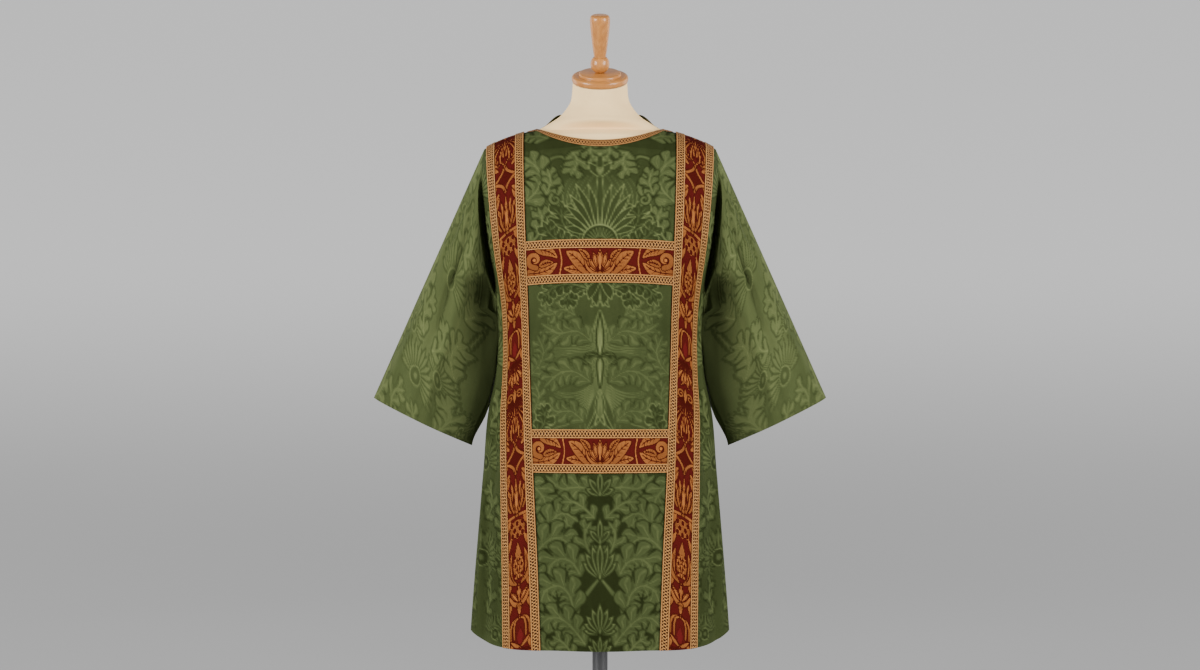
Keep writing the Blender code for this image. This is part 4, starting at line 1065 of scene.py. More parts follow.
def add_maps(mesh, uv, counts, closed, columns):
    """The flat map, in metres on the cloth, and the bake map, where no two faces share a place."""
    outside = uv[:counts[0]].reshape(-1, 2)
    low, high = outside.min(axis=0), outside.max(axis=0)
    if closed:
        middle, step = (low[0] + high[0]) / 2, (high[0] - low[0]) / (columns - 1)
        spans = np.ptp(uv[..., 0], axis=1) > (high[0] - low[0]) / 2
        uv[..., 0] = np.where(spans[:, None] & (uv[..., 0] < middle), high[0] + step, uv[..., 0])
        high = high + (step, 0.0)
    share = (uv - low) / (high - low)
    kind = np.repeat([0, 1, 2], counts)[:, None]
    rim = np.broadcast_to(BAKE_RIMS, share.shape[:2])
    bands = [start + height * (1 - share[..., 1]) for start, height in (BAKE_OUTSIDE, BAKE_INSIDE)]
    across = np.where(kind == 2, np.clip(share.max(axis=2), 0, 1), share[..., 0])
    bake = np.stack([BAKE_MARGIN + BAKE_ACROSS * across, np.choose(kind, [*bands, rim])], -1)
    for name, places in (("flat", uv), ("OFBake", bake)):
        mesh.uv_layers.new(name=name).data.foreach_set("uv", places.ravel())
    mesh.uv_layers["OFBake"].active_render = False
    mesh.uv_layers["flat"].active_render = True


def fan(tip, line, turn=False):
    """Faces from one vertex to a closed line of others."""
    pairs = zip(line.tolist(), np.roll(line, -1).tolist())
    return [(i, tip, j) if turn else (tip, i, j) for i, j in pairs]


def circle(steps):
    angles = np.linspace(0, 2 * math.pi, steps, endpoint=False)
    return np.cos(angles), np.sin(angles)


def level_rings(profile, steps):
    """A level ring of points for each radius and height."""
    x, y = circle(steps)
    return [np.stack([x * radius, y * radius, np.full(steps, height)], 1) for radius, height in profile]


def turned_mesh(name, profile, material, steps=96, place=(0.0, 0.0, 0.0), tilt=0.0):
    """A solid of revolution. The profile runs from the axis at its top to the axis at its bottom."""
    rings = level_rings(profile[1:-1], steps)
    points = np.concatenate([[(0.0, 0.0, profile[0][1])], *rings, [(0.0, 0.0, profile[-1][1])]])
    spin = np.array([[1, 0, 0], [0, math.cos(tilt), -math.sin(tilt)], [0, math.sin(tilt), math.cos(tilt)]])
    index = 1 + np.arange(len(rings) * steps).reshape(-1, steps)
    faces = fan(0, index[0]) + grid_faces(index, closed=True).tolist()
    faces += fan(len(points) - 1, index[-1], turn=True)
    return add_mesh(name, (points @ spin.T + np.array(place)).tolist(), faces, material, 35)


def arc(centre, radius, start, end, count):
    angles = np.radians(np.linspace(start, end, count))
    return [(centre[0] + radius * math.cos(a), centre[1] + radius * math.sin(a)) for a in angles]


# ---- Materials ----
class Nodes:
    """A material's node tree, with short calls for what is built again and again."""

    def __init__(self, name):
        self.material = bpy.data.materials.new(name)
        self.material.use_nodes = True
        self.tree = self.material.node_tree
        self.shader = self.tree.nodes["Principled BSDF"]

    def put(self, value, socket):
        """A link from another node's output, or a constant."""
        if isinstance(value, bpy.types.NodeSocket):
            self.tree.links.new(value, socket)
        else:
            socket.default_value = (*value, 1.0) if socket.type == "RGBA" and len(value) == 3 else value

    def node(self, kind, inputs, **settings):
        made = self.tree.nodes.new(kind)
        for key, value in settings.items():
            setattr(made, key, value)
        for key, value in inputs.items():
            self.put(value, made.inputs[key])
        return made

    def math(self, operation, *values, clamp=False):
        made = self.node("ShaderNodeMath", dict(enumerate(values)), operation=operation, use_clamp=clamp)
        return made.outputs[0]

    def add(self, value, *parts, about=0.0, clamp=False):
        """A value and some parts, each taken about one level and weighted. Only the whole is clamped."""
        for number, (part, weight) in enumerate(parts, 1):
            if about:
                part = self.math("SUBTRACT", part, about)
            value = self.math("ADD", value, self.times(part, weight), clamp=clamp and number == len(parts))
        return value

    def times(self, a, b, clamp=False):
        return self.math("MULTIPLY", a, b, clamp=clamp)

    def mix(self, share, a, b, blend="MIX"):
        """A mix of colours takes its share and two colours at inputs 0, 6 and 7, and gives output 2."""
        made = self.node("ShaderNodeMix", {}, data_type="RGBA", blend_type=blend)
        for index, value in ((0, share), (6, a), (7, b)):
            self.put(value, made.inputs[index])
        return made.outputs[2]

    def ramp(self, value, stops, ease="LINEAR"):
        made = self.node("ShaderNodeValToRGB", {0: value})
        made.color_ramp.interpolation = ease
        elements = made.color_ramp.elements
        while len(elements) < len(stops):
            elements.new(0.5)
        for element, (place, colour) in zip(elements, stops):
            element.position = place
            element.color = (*colour, 1.0) if isinstance(colour, tuple) else (colour, colour, colour, 1.0)
        return made.outputs[0]

    def noise(self, vector, scale, detail=2.0, roughness=0.5):
        """Noise of one scale, or stretched by three."""
        if isinstance(scale, tuple):
            stretched = self.node("ShaderNodeMapping", {"Vector": vector, "Scale": scale})
            vector, scale = stretched.outputs[0], 1.0
        inputs = {"Vector": vector, "Scale": scale, "Detail": detail, "Roughness": roughness}
        return self.node("ShaderNodeTexNoise", inputs).outputs["Fac"]

    def object_place(self):
        return self.node("ShaderNodeTexCoord", {}).outputs["Object"]

    def flat_place(self):
        """Flat coordinates in metres: the whole vector, across and down."""
        place = self.node("ShaderNodeUVMap", {}, uv_map="flat").outputs[0]
        return place, *self.node("ShaderNodeSeparateXYZ", {0: place}).outputs[:2]

    def ornament(self):
        colour = self.node("ShaderNodeAttribute", {}, attribute_name="ornament").outputs[0]
        return self.node("ShaderNodeSeparateColor", {0: colour}).outputs[:2]

    def thread(self, along, period):
        """A row of threads: 0 between them and 1 on top of each."""
        return self.math("PINGPONG", self.math("DIVIDE", along, period / 2), 1.0)

    def finish(self, colour, roughness, height=None, distance=0.001, strength=1.0, **constants):
        self.put(colour, self.shader.inputs["Base Color"])
        self.put(roughness, self.shader.inputs["Roughness"])
        if height is not None:
            inputs = {"Height": height, "Distance": distance, "Strength": strength}
            bump = self.node("ShaderNodeBump", inputs)
            self.put(bump.outputs[0], self.shader.inputs["Normal"])
        for key, value in constants.items():
            self.put(value, self.shader.inputs[key.replace("_", " ")])
        return self.material


DAMASK_STOPS = ((0.02, (0.006, 0.008, 0.002)), (0.28, (0.019, 0.025, 0.008)), (0.50, (0.040, 0.051, 0.018)),
                (0.75, (0.087, 0.104, 0.039)), (1.0, (0.165, 0.188, 0.078)))
DAMASK_FADED = (0.050, 0.062, 0.022)
DAMASK_GLOSS = (0.80, 0.95, 0.40)
SATIN_PERIOD, DAMASK_RIB_PERIOD = 0.0009, 0.0012


def damask_material():
    n = Nodes("silk_damask")
    place, across, down = n.flat_place()
    tone, figure = n.ornament()
    wide = n.noise(place, 7.0, 3.0, 0.6)
    slub = n.noise(place, (90.0, 1400.0, 1.0), 3.0, 0.6)
    # Painted sheen: long soft streaks that lighten and darken the silk's tone, in place of its satin
    # lustre.
    warp = n.noise(place, (2600.0, 60.0, 1.0))
    painted_sheen = n.noise(place, (34.0, 7.0, 1.0), 3.0, 0.55)
    contours = n.thread(tone, 0.10)
    parts = (wide, 0.16), (painted_sheen, 0.22), (contours, 0.09), (slub, 0.16), (warp, 0.10)
    value = n.add(tone, *parts, about=0.5, clamp=True)
    colour = n.mix(n.times(n.noise(place, 2.6), 0.20), n.ramp(value, DAMASK_STOPS), DAMASK_FADED)
    satin = n.thread(n.add(across, (down, 0.4)), SATIN_PERIOD)
    ground = n.times(n.math("SUBTRACT", 1.0, figure), satin)
    weave = n.add(ground, (n.thread(down, DAMASK_RIB_PERIOD), figure))
    height = n.add(0.0, (weave, 0.10), (tone, 0.45), (slub, 0.10))
    rough = n.add(0.40, (figure, 0.10), (slub, 0.12))
    return n.finish(colour, rough, height, 0.0012, 0.55,
                    Specular_IOR_Level=0.008, Specular_Tint=DAMASK_GLOSS)


BROCADE_RED = ((0.024, 0.0018, 0.0016), (0.098, 0.0075, 0.0085))
BROCADE_GOLD = ((0.0, (0.090, 0.024, 0.006)), (0.45, (0.200, 0.068, 0.018)), (1.0, (0.370, 0.134, 0.034)))
BROCADE_SHADE, BROCADE_SLUB = (0.022, 0.003, 0.002), (0.120, 0.040, 0.012)
BROCADE_GLOSS = (1.0, 0.55, 0.25)
BROCADE_RIB_PERIOD = 0.0010


def brocade_material():
    n = Nodes("gold_brocade")
    place, _, down = n.flat_place()
    gold, light = n.ornament()
    gold = n.ramp(gold, ((0.30, 0.0), (0.70, 1.0)), "EASE")
    worn = n.noise(place, 26.0, 4.0, 0.6)
    slub = n.noise(place, (260.0, 1500.0, 1.0))
    cover = n.times(n.add(gold, (worn, 0.45), about=0.55, clamp=True), gold, clamp=True)
    colour = n.mix(cover, n.mix(light, *BROCADE_RED), n.ramp(light, BROCADE_GOLD))
    ribs = n.thread(down, BROCADE_RIB_PERIOD)
    colour = n.mix(n.times(n.math("SUBTRACT", 1.0, ribs), 0.30), colour, BROCADE_SHADE)
    colour = n.mix(n.times(slub, 0.10), colour, BROCADE_SLUB)
    height = n.add(0.0, (gold, 0.60), (ribs, 0.25), (light, 0.25))
    rough = n.add(0.66, (gold, -0.20))
    return n.finish(colour, rough, height, 0.0010, 0.7,
                    Specular_IOR_Level=0.008, Specular_Tint=BROCADE_GLOSS)


# The galloon: a chain of crossed strands between two plain borders, in metres.
PLAIT_PERIOD = 0.0130
PLAIT_BORDER = 0.0034
GALLOON_THREAD = 0.0013
GALLOON_STOPS = ((0.08, (0.022, 0.006, 0.002)), (0.35, (0.085, 0.032, 0.010)),
                 (0.65, (0.205, 0.090, 0.028)), (1.0, (0.440, 0.225, 0.076)))
GALLOON_GLOSS = (1.0, 0.72, 0.42)
RIM_STOPS = ((0.0, 0.30), (0.25, 0.90), (0.60, 0.80), (1.0, 0.0))


def braid_height(across):
    """How thick the braid is, 0 to 1, across its width: rounded edges and a low middle."""
    edge = np.minimum(across, BRAID_WIDTH - across)
    return 0.74 + 0.26 * np.sqrt(np.clip(1 - ((edge - PLAIT_BORDER * 0.6) / PLAIT_BORDER) ** 2, 0, 1))


def galloon_material():
    n = Nodes("gold_galloon")
    place, across, down = n.flat_place()
    half = BRAID_WIDTH / 2 - PLAIT_BORDER
    centre = n.math("SUBTRACT", across, BRAID_WIDTH / 2)
    path = n.times(n.math("SUBTRACT", n.thread(down, PLAIT_PERIOD), 0.5), 2 * half)
    strands = [n.math("ABSOLUTE", n.math(way, centre, path)) for way in ("SUBTRACT", "ADD")]
    strand = n.ramp(n.math("DIVIDE", n.math("MINIMUM", *strands), half), ((0.18, 1.0), (0.32, 0.0)))
    edge = n.math("MINIMUM", across, n.math("SUBTRACT", BRAID_WIDTH, across))
    rim = n.ramp(n.math("DIVIDE", edge, PLAIT_BORDER), RIM_STOPS)
    fine = n.thread(n.add(down, (across, 0.5)), GALLOON_THREAD)
    value = n.mix(n.math("LESS_THAN", edge, PLAIT_BORDER), n.times(strand, 0.90), rim)
    value = n.add(value, (n.noise(place, 140.0, 3.0, 0.6), 0.35), (fine, 0.10), about=0.5, clamp=True)
    height = n.add(0.0, (fine, 0.20), (value, 0.6))
    return n.finish(n.ramp(value, GALLOON_STOPS), n.add(0.56, (value, -0.16)), height, 0.0007, 0.8,
                    Specular_IOR_Level=0.08, Specular_Tint=GALLOON_GLOSS)


JERSEY_STOPS = ((0.30, (0.820, 0.570, 0.270)), (0.55, (0.860, 0.610, 0.295)), (0.80, (0.880, 0.645, 0.330)))
JERSEY_LINT = (0.600, 0.400, 0.200)


def jersey_material():
    n = Nodes("cream_jersey")
    place = n.object_place()
    lint = n.noise(place, 700.0, 2.0, 0.6)
    colour = n.mix(n.times(lint, 0.12), n.ramp(n.noise(place, 9.0, 3.0), JERSEY_STOPS), JERSEY_LINT)
    ribs = []
    for scale, bent, way in ((260.0, 1.2, "X"), (230.0, 0.8, "Z")):
        inputs = {"Vector": place, "Scale": scale, "Distortion": bent, "Detail": 1.0}
        ribs.append(n.node("ShaderNodeTexWave", inputs, bands_direction=way).outputs["Fac"])
    return n.finish(colour, 0.86, n.times(*ribs), 0.0005, 0.5, Specular_IOR_Level=0.2)


BEECH_STOPS = ((0.25, (0.300, 0.112, 0.024)), (0.50, (0.390, 0.155, 0.034)), (0.75, (0.470, 0.200, 0.050)))
BEECH_FLECK = (0.200, 0.070, 0.016)
CAP_GRAIN, FINIAL_GRAIN = (18.0, 60.0, 160.0), (150.0, 150.0, 14.0)


def beech_material(name, along):
    """along scales the grain on each axis: less along the wood's fibres."""
    n = Nodes(name)
    place = n.object_place()
    grain = n.noise(place, along, 5.0, 0.6)
    fleck = n.noise(place, tuple(10 * value for value in along))
    colour = n.mix(n.ramp(fleck, ((0.56, 0.0), (0.70, 0.5))), n.ramp(grain, BEECH_STOPS), BEECH_FLECK)
    return n.finish(colour, n.add(0.30, (grain, 0.16)), n.math("ADD", grain, fleck), 0.0003, 0.20,
                    Coat_Weight=0.40, Coat_Roughness=0.14, Specular_IOR_Level=0.20)


def stand_material():
    n = Nodes("satin_grey_paint")
    place = n.object_place()
    cloud = n.noise(place, 14.0, 4.0, 0.6)
    colour = n.ramp(cloud, ((0.3, (0.036, 0.036, 0.038)), (0.7, (0.062, 0.062, 0.064))))
    rough = n.add(0.34, (cloud, 0.18))
    return n.finish(colour, rough, n.noise(place, 900.0), 0.0002, 0.35, Specular_IOR_Level=0.5)


# ---- The garment ----
CENTRE_STEP = {-1: 0.0026, 1: 0.0033}
SIDE_STEP = {-1: 0.0029, 1: 0.0033}
ORPHREY_STEP = {-1: 0.0019, 1: 0.0024}
APPAREL_STEP = {-1: 0.0016, 1: 0.0022}
BRAID_STEP = 0.0030
BRAID_LINES = 7
NECK_BRAID_LINES = 13
NECK_BRAID_TAPER = 5
DAMASK_START = 0.200
SIDES = {-1: "front", 1: "back"}
HANDS = {"left": -1, "right": 1}
APPAREL_END = INNER_COLUMN - GAP / (ORPHREY_TOP_X / INNER_COLUMN)


def declare(thing, node, length):
    stands_for(thing, node)


def dress(patch, name, material, low, high, flat, values, coarse, length=None):
    """One layer of the body, between two distances from its surface, with its ornament."""
    outer = patch.points + patch.normals * high
    thing = cloth(name, outer, patch.normals, high - low, flat, material, values,
                  flip=patch.side < 0, coarse=coarse)
    length = length or float(patch.down[-1].max())
    declare(thing, name, length)


def add_panels(side, material, design):
    inner, outer = SEAM_COLUMN - SEAM_SHIFT, SEAM_COLUMN + SEAM_SHIFT
    spans = {"centre": (-inner, inner), "left": (-EDGE_COLUMN, -outer), "right": (outer, EDGE_COLUMN)}
    for place, span in spans.items():
        step, coarse = (CENTRE_STEP[side], 4) if place == "centre" else (SIDE_STEP[side], 2)
        patch = Patch(side, rows_between(0, ROWS["hem"], step, side), columns_between(*span, step))
        flat = np.stack([patch.across, patch.fall], -1)
        values = design.sample(MM * patch.across, MM * (patch.fall + DAMASK_START))
        dress(patch, f"{SIDES[side]}_panel_{place}", material, -CLOTH, 0.0, flat, values,
              coarse)


def add_orphreys(side, brocade, design):
    rows = rows_between(0, ROWS["hem"], ORPHREY_STEP[side], side)
    for hand, sign in HANDS.items():
        ends = sorted((sign * INNER_COLUMN, sign * OUTER_COLUMN))
        patch = Patch(side, rows, columns_between(*ends, ORPHREY_STEP[side]))
        across = patch.across - (patch.across.min(axis=1) + patch.across.max(axis=1))[:, None] / 2
        values = design.sample(MM * across, MM * patch.down)
        dress(patch, f"orphrey_{SIDES[side]}_{hand}", brocade, GAP, GAP + BAND,
              np.stack([across, patch.down], -1), values, 6)


def add_apparels(side, brocade, design):
    columns = columns_between(-APPAREL_END, APPAREL_END, APPAREL_STEP[side])
    for place in ("upper", "lower"):
        first = ROWS[place]
        patch = Patch(side, rows_between(first, first + 4, APPAREL_STEP[side], side), columns)
        top = level_row(side, float(ROW_HEIGHTS[first - CAP_ROWS]), np.array([APPAREL_END]))[1][0]
        down = MM * (patch.down - APPAREL_HEIGHT / 2) + design.height / 2
        values = design.sample(patch.across * design.width / top, down)
        flat = np.stack([patch.across, patch.down], -1)
        dress(patch, f"apparel_{SIDES[side]}_{place}", brocade, GAP, GAP + BAND, flat, values,
              8, APPAREL_HEIGHT)


def braid(side, points, normals, across, along, name, material, carrier, low, curved=False):
    """A strip of galloon, whose across runs from one border to the other."""
    thick = (BRAID * braid_height(across))[..., None]
    outer = points + normals * (low + thick)
    flat = np.stack([across, along], -1)
    thing = cloth(name, outer, normals, thick, flat, material, flip=side < 0, coarse=8)
    length = float(np.ptp(along))
    declare(thing, name, length)


def add_braids(side, material):
    low = 2 * GAP + BAND
    rows = rows_between(0, ROWS["hem"], BRAID_STEP, side)
    spans = {"inner": (INNER_COLUMN, INNER_BRAID_COLUMN), "outer": (OUTER_BRAID_COLUMN, OUTER_COLUMN)}
    for hand, sign in HANDS.items():
        name = f"orphrey_{SIDES[side]}_{hand}"
        for place, span in spans.items():
            ends = sorted(sign * value for value in span)
            patch = Patch(side, rows, np.linspace(*ends, BRAID_LINES))
            across = np.abs(patch.across - patch.across[:, :1])
            across = across / across[:, -1:] * BRAID_WIDTH
            braid(side, patch.points, patch.normals, across, patch.down,
                  f"{name}_{place}_braid", material, name, low)
    columns = columns_between(-APPAREL_END, APPAREL_END, BRAID_STEP)
    for place in ("upper", "lower"):
        name = f"apparel_{SIDES[side]}_{place}"
        for edge, start in (("top", ROWS[place]), ("bottom", ROWS[place] + 3)):
            patch = Patch(side, np.linspace(start, start + 1, BRAID_LINES), columns)
            across = patch.down / patch.down[-1:] * BRAID_WIDTH
            braid(side, patch.points, patch.normals, across, patch.across - patch.across[0, 0],
                  f"{name}_{edge}_braid", material, name, low)


def add_neck_braid(side, material):
    """Braid round half of the neck opening, tapered to end on the shoulder seam."""
    columns = columns_between(-NECK_BRAID_COLUMN, NECK_BRAID_COLUMN, BRAID_STEP)
    down = np.linspace(0, 1, NECK_BRAID_LINES)
    patch = Patch(side, down, columns)
    start = np.clip((np.abs(columns) - NECK_BRAID_TAPER) / (NECK_BRAID_COLUMN - NECK_BRAID_TAPER), 0, 1)
    row_at = start + (1 - start) * down[:, None]
    last = NECK_BRAID_LINES - 1
    k = np.clip((row_at * last).astype(int), 0, last - 1)
    part = (row_at * last - k)[..., None]
    which = np.arange(len(columns))
    points, normals = (grid[k, which] * (1 - part) + grid[k + 1, which] * part
                       for grid in (patch.points, patch.normals))
    along = np.broadcast_to(lengths(patch.points[0]), row_at.shape)
    braid(side, points, unit(normals), row_at * BRAID_WIDTH, along, f"neck_braid_{SIDES[side]}", material,
          f"{SIDES[side]}_panel_centre", GAP, curved=True)


# ---- Sleeves ----
SLEEVE_STEP = 0.0024
SLEEVE_AROUND, SLEEVE_DOWN = 0.58, 0.42
SLEEVE_ORIGIN = (0.100, 0.250)
# The sleeves' tone: its middle, a lift that is painted sheen making the sleeves lighter than the panels,
# and its share of the contrast.
SLEEVE_TONE, SLEEVE_PAINTED_SHEEN, SLEEVE_CONTRAST = 0.46, 0.14, 0.62
SLEEVE_CREASE_START = 0.10
# The sleeve falls back into the fold over this distance.
FOLD_REACH = 0.020
# Its inner edge curls in over this radius, below this height and from this share down to the cuff.
CURL = 0.95
CURL_RADIUS, CURL_EASE, CURL_LEAST = 0.125, 1.4, 0.02
CURL_TOP, CURL_TOP_OVER, CURL_START = 1.150, 0.05, 0.08


def armhole_edge():
    """The armhole at x above zero: from the underarm up the front to the tip and down the back."""
    rows = rows_between(0, ROWS["underarm"], SLEEVE_STEP, -1)
    halves = []
    for side in (-1, 1):
        patch = Patch(side, rows, [EDGE_COLUMN - 0.02, EDGE_COLUMN - 0.01, EDGE_COLUMN])
        edge = patch.points[:, 2]
        halves.append((edge, unit(edge - patch.points[:, 1]), patch.normals[:, 2]))
    return [np.concatenate([front[::-1], back[1:-1]]) for front, back in zip(*halves)], len(rows) - 1


def around_cuff(shares):
    angle = np.linspace(0.0, math.pi, SEAM_SAMPLES)
    power = 2.0 / CUFF_SQUARENESS
    u = -np.sign(np.cos(angle)) * np.abs(np.cos(angle)) ** power
    v = np.abs(np.sin(angle)) ** power
    inner, outer = Vector(CUFF_INNER), Vector(CUFF_OUTER)
    middle, reach = (inner + outer) / 2, (outer - inner) / 2
    along = lengths(np.stack([u * reach.length, v * CUFF_HALF_DEPTH], 1))
    half = np.where(shares <= 0.5, shares, 1.0 - shares) * 2 * along[-1]
    across = np.interp(half, along, u)
    depth = np.interp(half, along, v) * np.where(shares <= 0.5, -1.0, 1.0) * CUFF_HALF_DEPTH
    return np.stack([middle.x + across * reach.x, CUFF_Y + depth, middle.y + across * reach.y], 1)


def body_side(y, z):
    height = np.clip(z, HEM_Z, APPAREL_TOPS[0])
    room = np.where(y < 0, body_size("front", height), body_size("back", height))
    power = body_size("squareness", height)
    return body_size("half_width", height) * (1 - np.minimum(np.abs(y) / room, 1.0) ** power) ** (1 / power)


def sleeve_start():
    """The sleeve's edge at the armhole: shares round from the underarm, points and outward directions."""
    (edge, across, normals), tip = armhole_edge()
    along = lengths(np.vstack([edge, edge[:1]]))
    behind = (along[tip + 1:] - along[tip]) / (along[-1] - along[tip])
    known = np.concatenate([along[:tip + 1] / along[tip], 1 + behind])
    shares = np.linspace(0.0, 1.0, int(SLEEVE_AROUND / SLEEVE_STEP), endpoint=False)

    def spread(values):
        values = np.vstack([values, values[:1]])
        return np.stack([np.interp(shares, known / 2, values[:, axis]) for axis in range(3)], 1)

    across, normals = unit(spread(across)), unit(spread(normals))
    turn = smooth(1.0 - np.minimum(shares, 1.0 - shares) / SEAM_TURN)[:, None] * math.pi / 2
    return shares, spread(edge) + GAP * (np.cos(turn) * across + np.sin(turn) * normals), normals


def sleeve_ring(share, shares, start, cuff, pulled, fall):
    """The sleeve's points at one share of the way down to the cuff."""
    x, y, z = (start * (1 - share) + cuff * share).T
    y = y - math.sin(math.pi * share) * SLEEVE_SWELL * np.sin(2 * math.pi * shares)
    begun = smooth(share * SLEEVE_ROWS)
    parts = SLEEVE_HUG * begun + (CUFF_INNER[0] - body_size("half_width", CUFF_INNER[1])) * smooth(
        (SLEEVE_PARTS_Z - z[0]) / SLEEVE_PARTS_OVER)
    near = np.exp(-(np.minimum(shares, 1.0 - shares) / SLEEVE_HUG_WIDTH) ** 4) * begun
    near *= smooth((1 - share) * SLEEVE_ROWS) * smooth((UNDERARM_Z - z) / SLEEVE_HUG_START)
    x = x + (body_side(y, z) + parts - x) * near
    y = y + pulled * smooth(1 - share * fall / FOLD_REACH)
    curl = np.clip(1 - (x - body_side(np.zeros_like(y), z)) / CURL_RADIUS, 0, 1) ** CURL_EASE
    curl *= smooth((CURL_TOP - z) / CURL_TOP_OVER) * smooth(share / CURL_START)
    in_front = y < 0
    y = y * (1 - curl * CURL * in_front)
    x = np.where(in_front & (curl > CURL_LEAST), np.maximum(x, body_side(y, z) + parts), x)
    return np.stack([x, y, z], 1)


def sleeve_grid():
    """Outer points, outward directions and flat places of the sleeve at x above zero."""
    shares, start, normals = sleeve_start()
    cuff = around_cuff(shares)
    pulled = np.where(shares <= 0.5, armhole_fold(-1, start[:, 2]), -armhole_fold(1, start[:, 2]))
    start = start - pulled[:, None] * np.array([0.0, 1.0, 0.0])
    fall = np.linalg.norm(cuff - start, axis=1)
    down = np.linspace(0.0, 1.0, int(SLEEVE_DOWN / SLEEVE_STEP) + 1)
    outer = np.array([sleeve_ring(share, shares, start, cuff, pulled, fall) for share in down])
    outward = grid_normals(outer, closed=True)
    grows = np.sin(math.pi * down ** TROUGH_BIAS)[:, None]
    for place, width, deep in TROUGHS:
        outer -= outward * (deep * grows * np.exp(-((shares - place) / width) ** 2))[..., None]
    rise = crease(SLEEVE_CREASES, *np.broadcast_arrays(shares, down[:, None]))
    outer = outer + outward * (rise * smooth(down / SLEEVE_CREASE_START)[:, None])[..., None]
    outward = grid_normals(outer, closed=True)
    from_seam = np.minimum(shares, 1.0 - shares)[:, None]
    over_shoulder = smooth((from_seam - SEAM_FLAT[0]) / (SEAM_FLAT[1] - SEAM_FLAT[0]))
    outward[0] = unit(outward[0] * (1 - over_shoulder) + normals * over_shoulder)
    falls = lengths(outer)
    return outer, outward, np.stack([np.broadcast_to(lengths(outer[-1]), falls.shape), falls], -1)


def add_sleeves(material, design):
    outer, outward, flat = sleeve_grid()
    for hand, sign in HANDS.items():
        values = design.sample(*(MM * (flat[..., axis] + SLEEVE_ORIGIN[axis]) for axis in (0, 1)))
        # Painted sheen: the sleeves' damask is lifted in tone above the same damask on the panels.
        values[..., 0] = SLEEVE_TONE + SLEEVE_PAINTED_SHEEN + (values[..., 0] - SLEEVE_TONE) * SLEEVE_CONTRAST
        name, mirror = f"sleeve_{hand}", np.array([sign, 1.0, 1.0])
        thing = cloth(name, outer * mirror, outward * mirror, CLOTH, flat, material, values, closed=True,
                      flip=sign > 0, coarse=2)
        declare(thing, name, float(flat[..., 1].max()))


# ---- The dress form and its stand ----
FORM_SIDES = 120


def add_form(material):
    rows = list(FORM_LOWER)
    tip, neck = FORM_SHOULDER_XS[0], FORM_SHOULDER_XS[-1]
    for x in FORM_SHOULDER_XS:
        share = (tip - x) / (tip - neck)
        depths = [first + (last - first) * share
                  for first, last in (FORM_SHOULDER_FRONT, FORM_SHOULDER_BACK)]
        height = float(shoulder_height(x)) - CLOTH - FORM_CLEAR
        rows.append((height, x, *depths, FORM_SHOULDER_SQUARENESS, 0.0, 0.0))
    rows.extend(FORM_UPPER)
    cosine, sine = circle(FORM_SIDES)
    rings = []
    for height, half_width, front, back, squareness, centre_y, lean in bend(rows, 4):
        x = half_width * np.sign(cosine) * np.abs(cosine) ** (2 / squareness)
        y = np.where(sine > 0, back, front) * np.sign(sine) * np.abs(sine) ** (2 / squareness)
        rings.append(np.stack([x, centre_y + y * np.cos(lean), height + y * np.sin(lean)], 1))
    index = np.arange(len(rings) * FORM_SIDES).reshape(-1, FORM_SIDES)
    faces = grid_faces(index, closed=True)[:, OTHER_WAY].tolist()
    faces += [index[0, ::-1].tolist(), index[-1].tolist()]
    body = add_mesh("form_body", np.concatenate(rings).tolist(), faces, material, 50)
    stands_for(body, "dress_form_torso")


def add_woodwork(cap_wood, finial_wood):
    rim, step_rim = 0.005, 0.003
    top = CAP_HEIGHT + STEP_HEIGHT
    profile = [(0.0, top)] + arc((STEP_RADIUS - step_rim, top - step_rim), step_rim, 90, 0, 8)
    profile += [(STEP_RADIUS, CAP_HEIGHT)]
    profile += arc((CAP_RADIUS - rim, CAP_HEIGHT - rim), rim, 90, 0, 10)
    profile += arc((CAP_RADIUS - rim, rim), rim, 0, -90, 10) + [(0.0, 0.0)]
    axis = Vector((0.0, -math.sin(NECK_TILT), math.cos(NECK_TILT)))
    cap = turned_mesh("cap_wood", profile, cap_wood, 128, Vector(NECK_TOP) + axis * GAP, NECK_TILT)
    stands_for(cap, "neck_cap")
    seat = top + 2 * GAP
    centre = seat + math.sqrt(BALL_RADIUS ** 2 - BALL_SEAT ** 2)
    low = math.degrees(math.asin(BALL_SEAT / BALL_RADIUS)) - 90
    high = math.degrees(math.acos(HANDLE_BOTTOM_RADIUS / BALL_RADIUS))
    profile = [(0.0, HANDLE_TOP)]
    inwards, down = HANDLE_CROWN
    profile += [(HANDLE_TOP_RADIUS - inwards * (1 - math.cos(a)), HANDLE_TOP - down * (1 - math.sin(a)))
                for a in np.radians(np.linspace(84, 0, 10))]
    profile += bend([(HANDLE_TOP_RADIUS, HANDLE_SIDE_TOP), HANDLE_SHOULDER, HANDLE_WAIST,
                     (HANDLE_BOTTOM_RADIUS, HANDLE_BOTTOM)], 5).tolist()
    profile += arc((0.0, centre), BALL_RADIUS, high - 6, low, 24) + [(0.0, seat)]
    stands_for(turned_mesh("finial_wood", profile, finial_wood, 96, NECK_TOP, NECK_TILT), "finial")


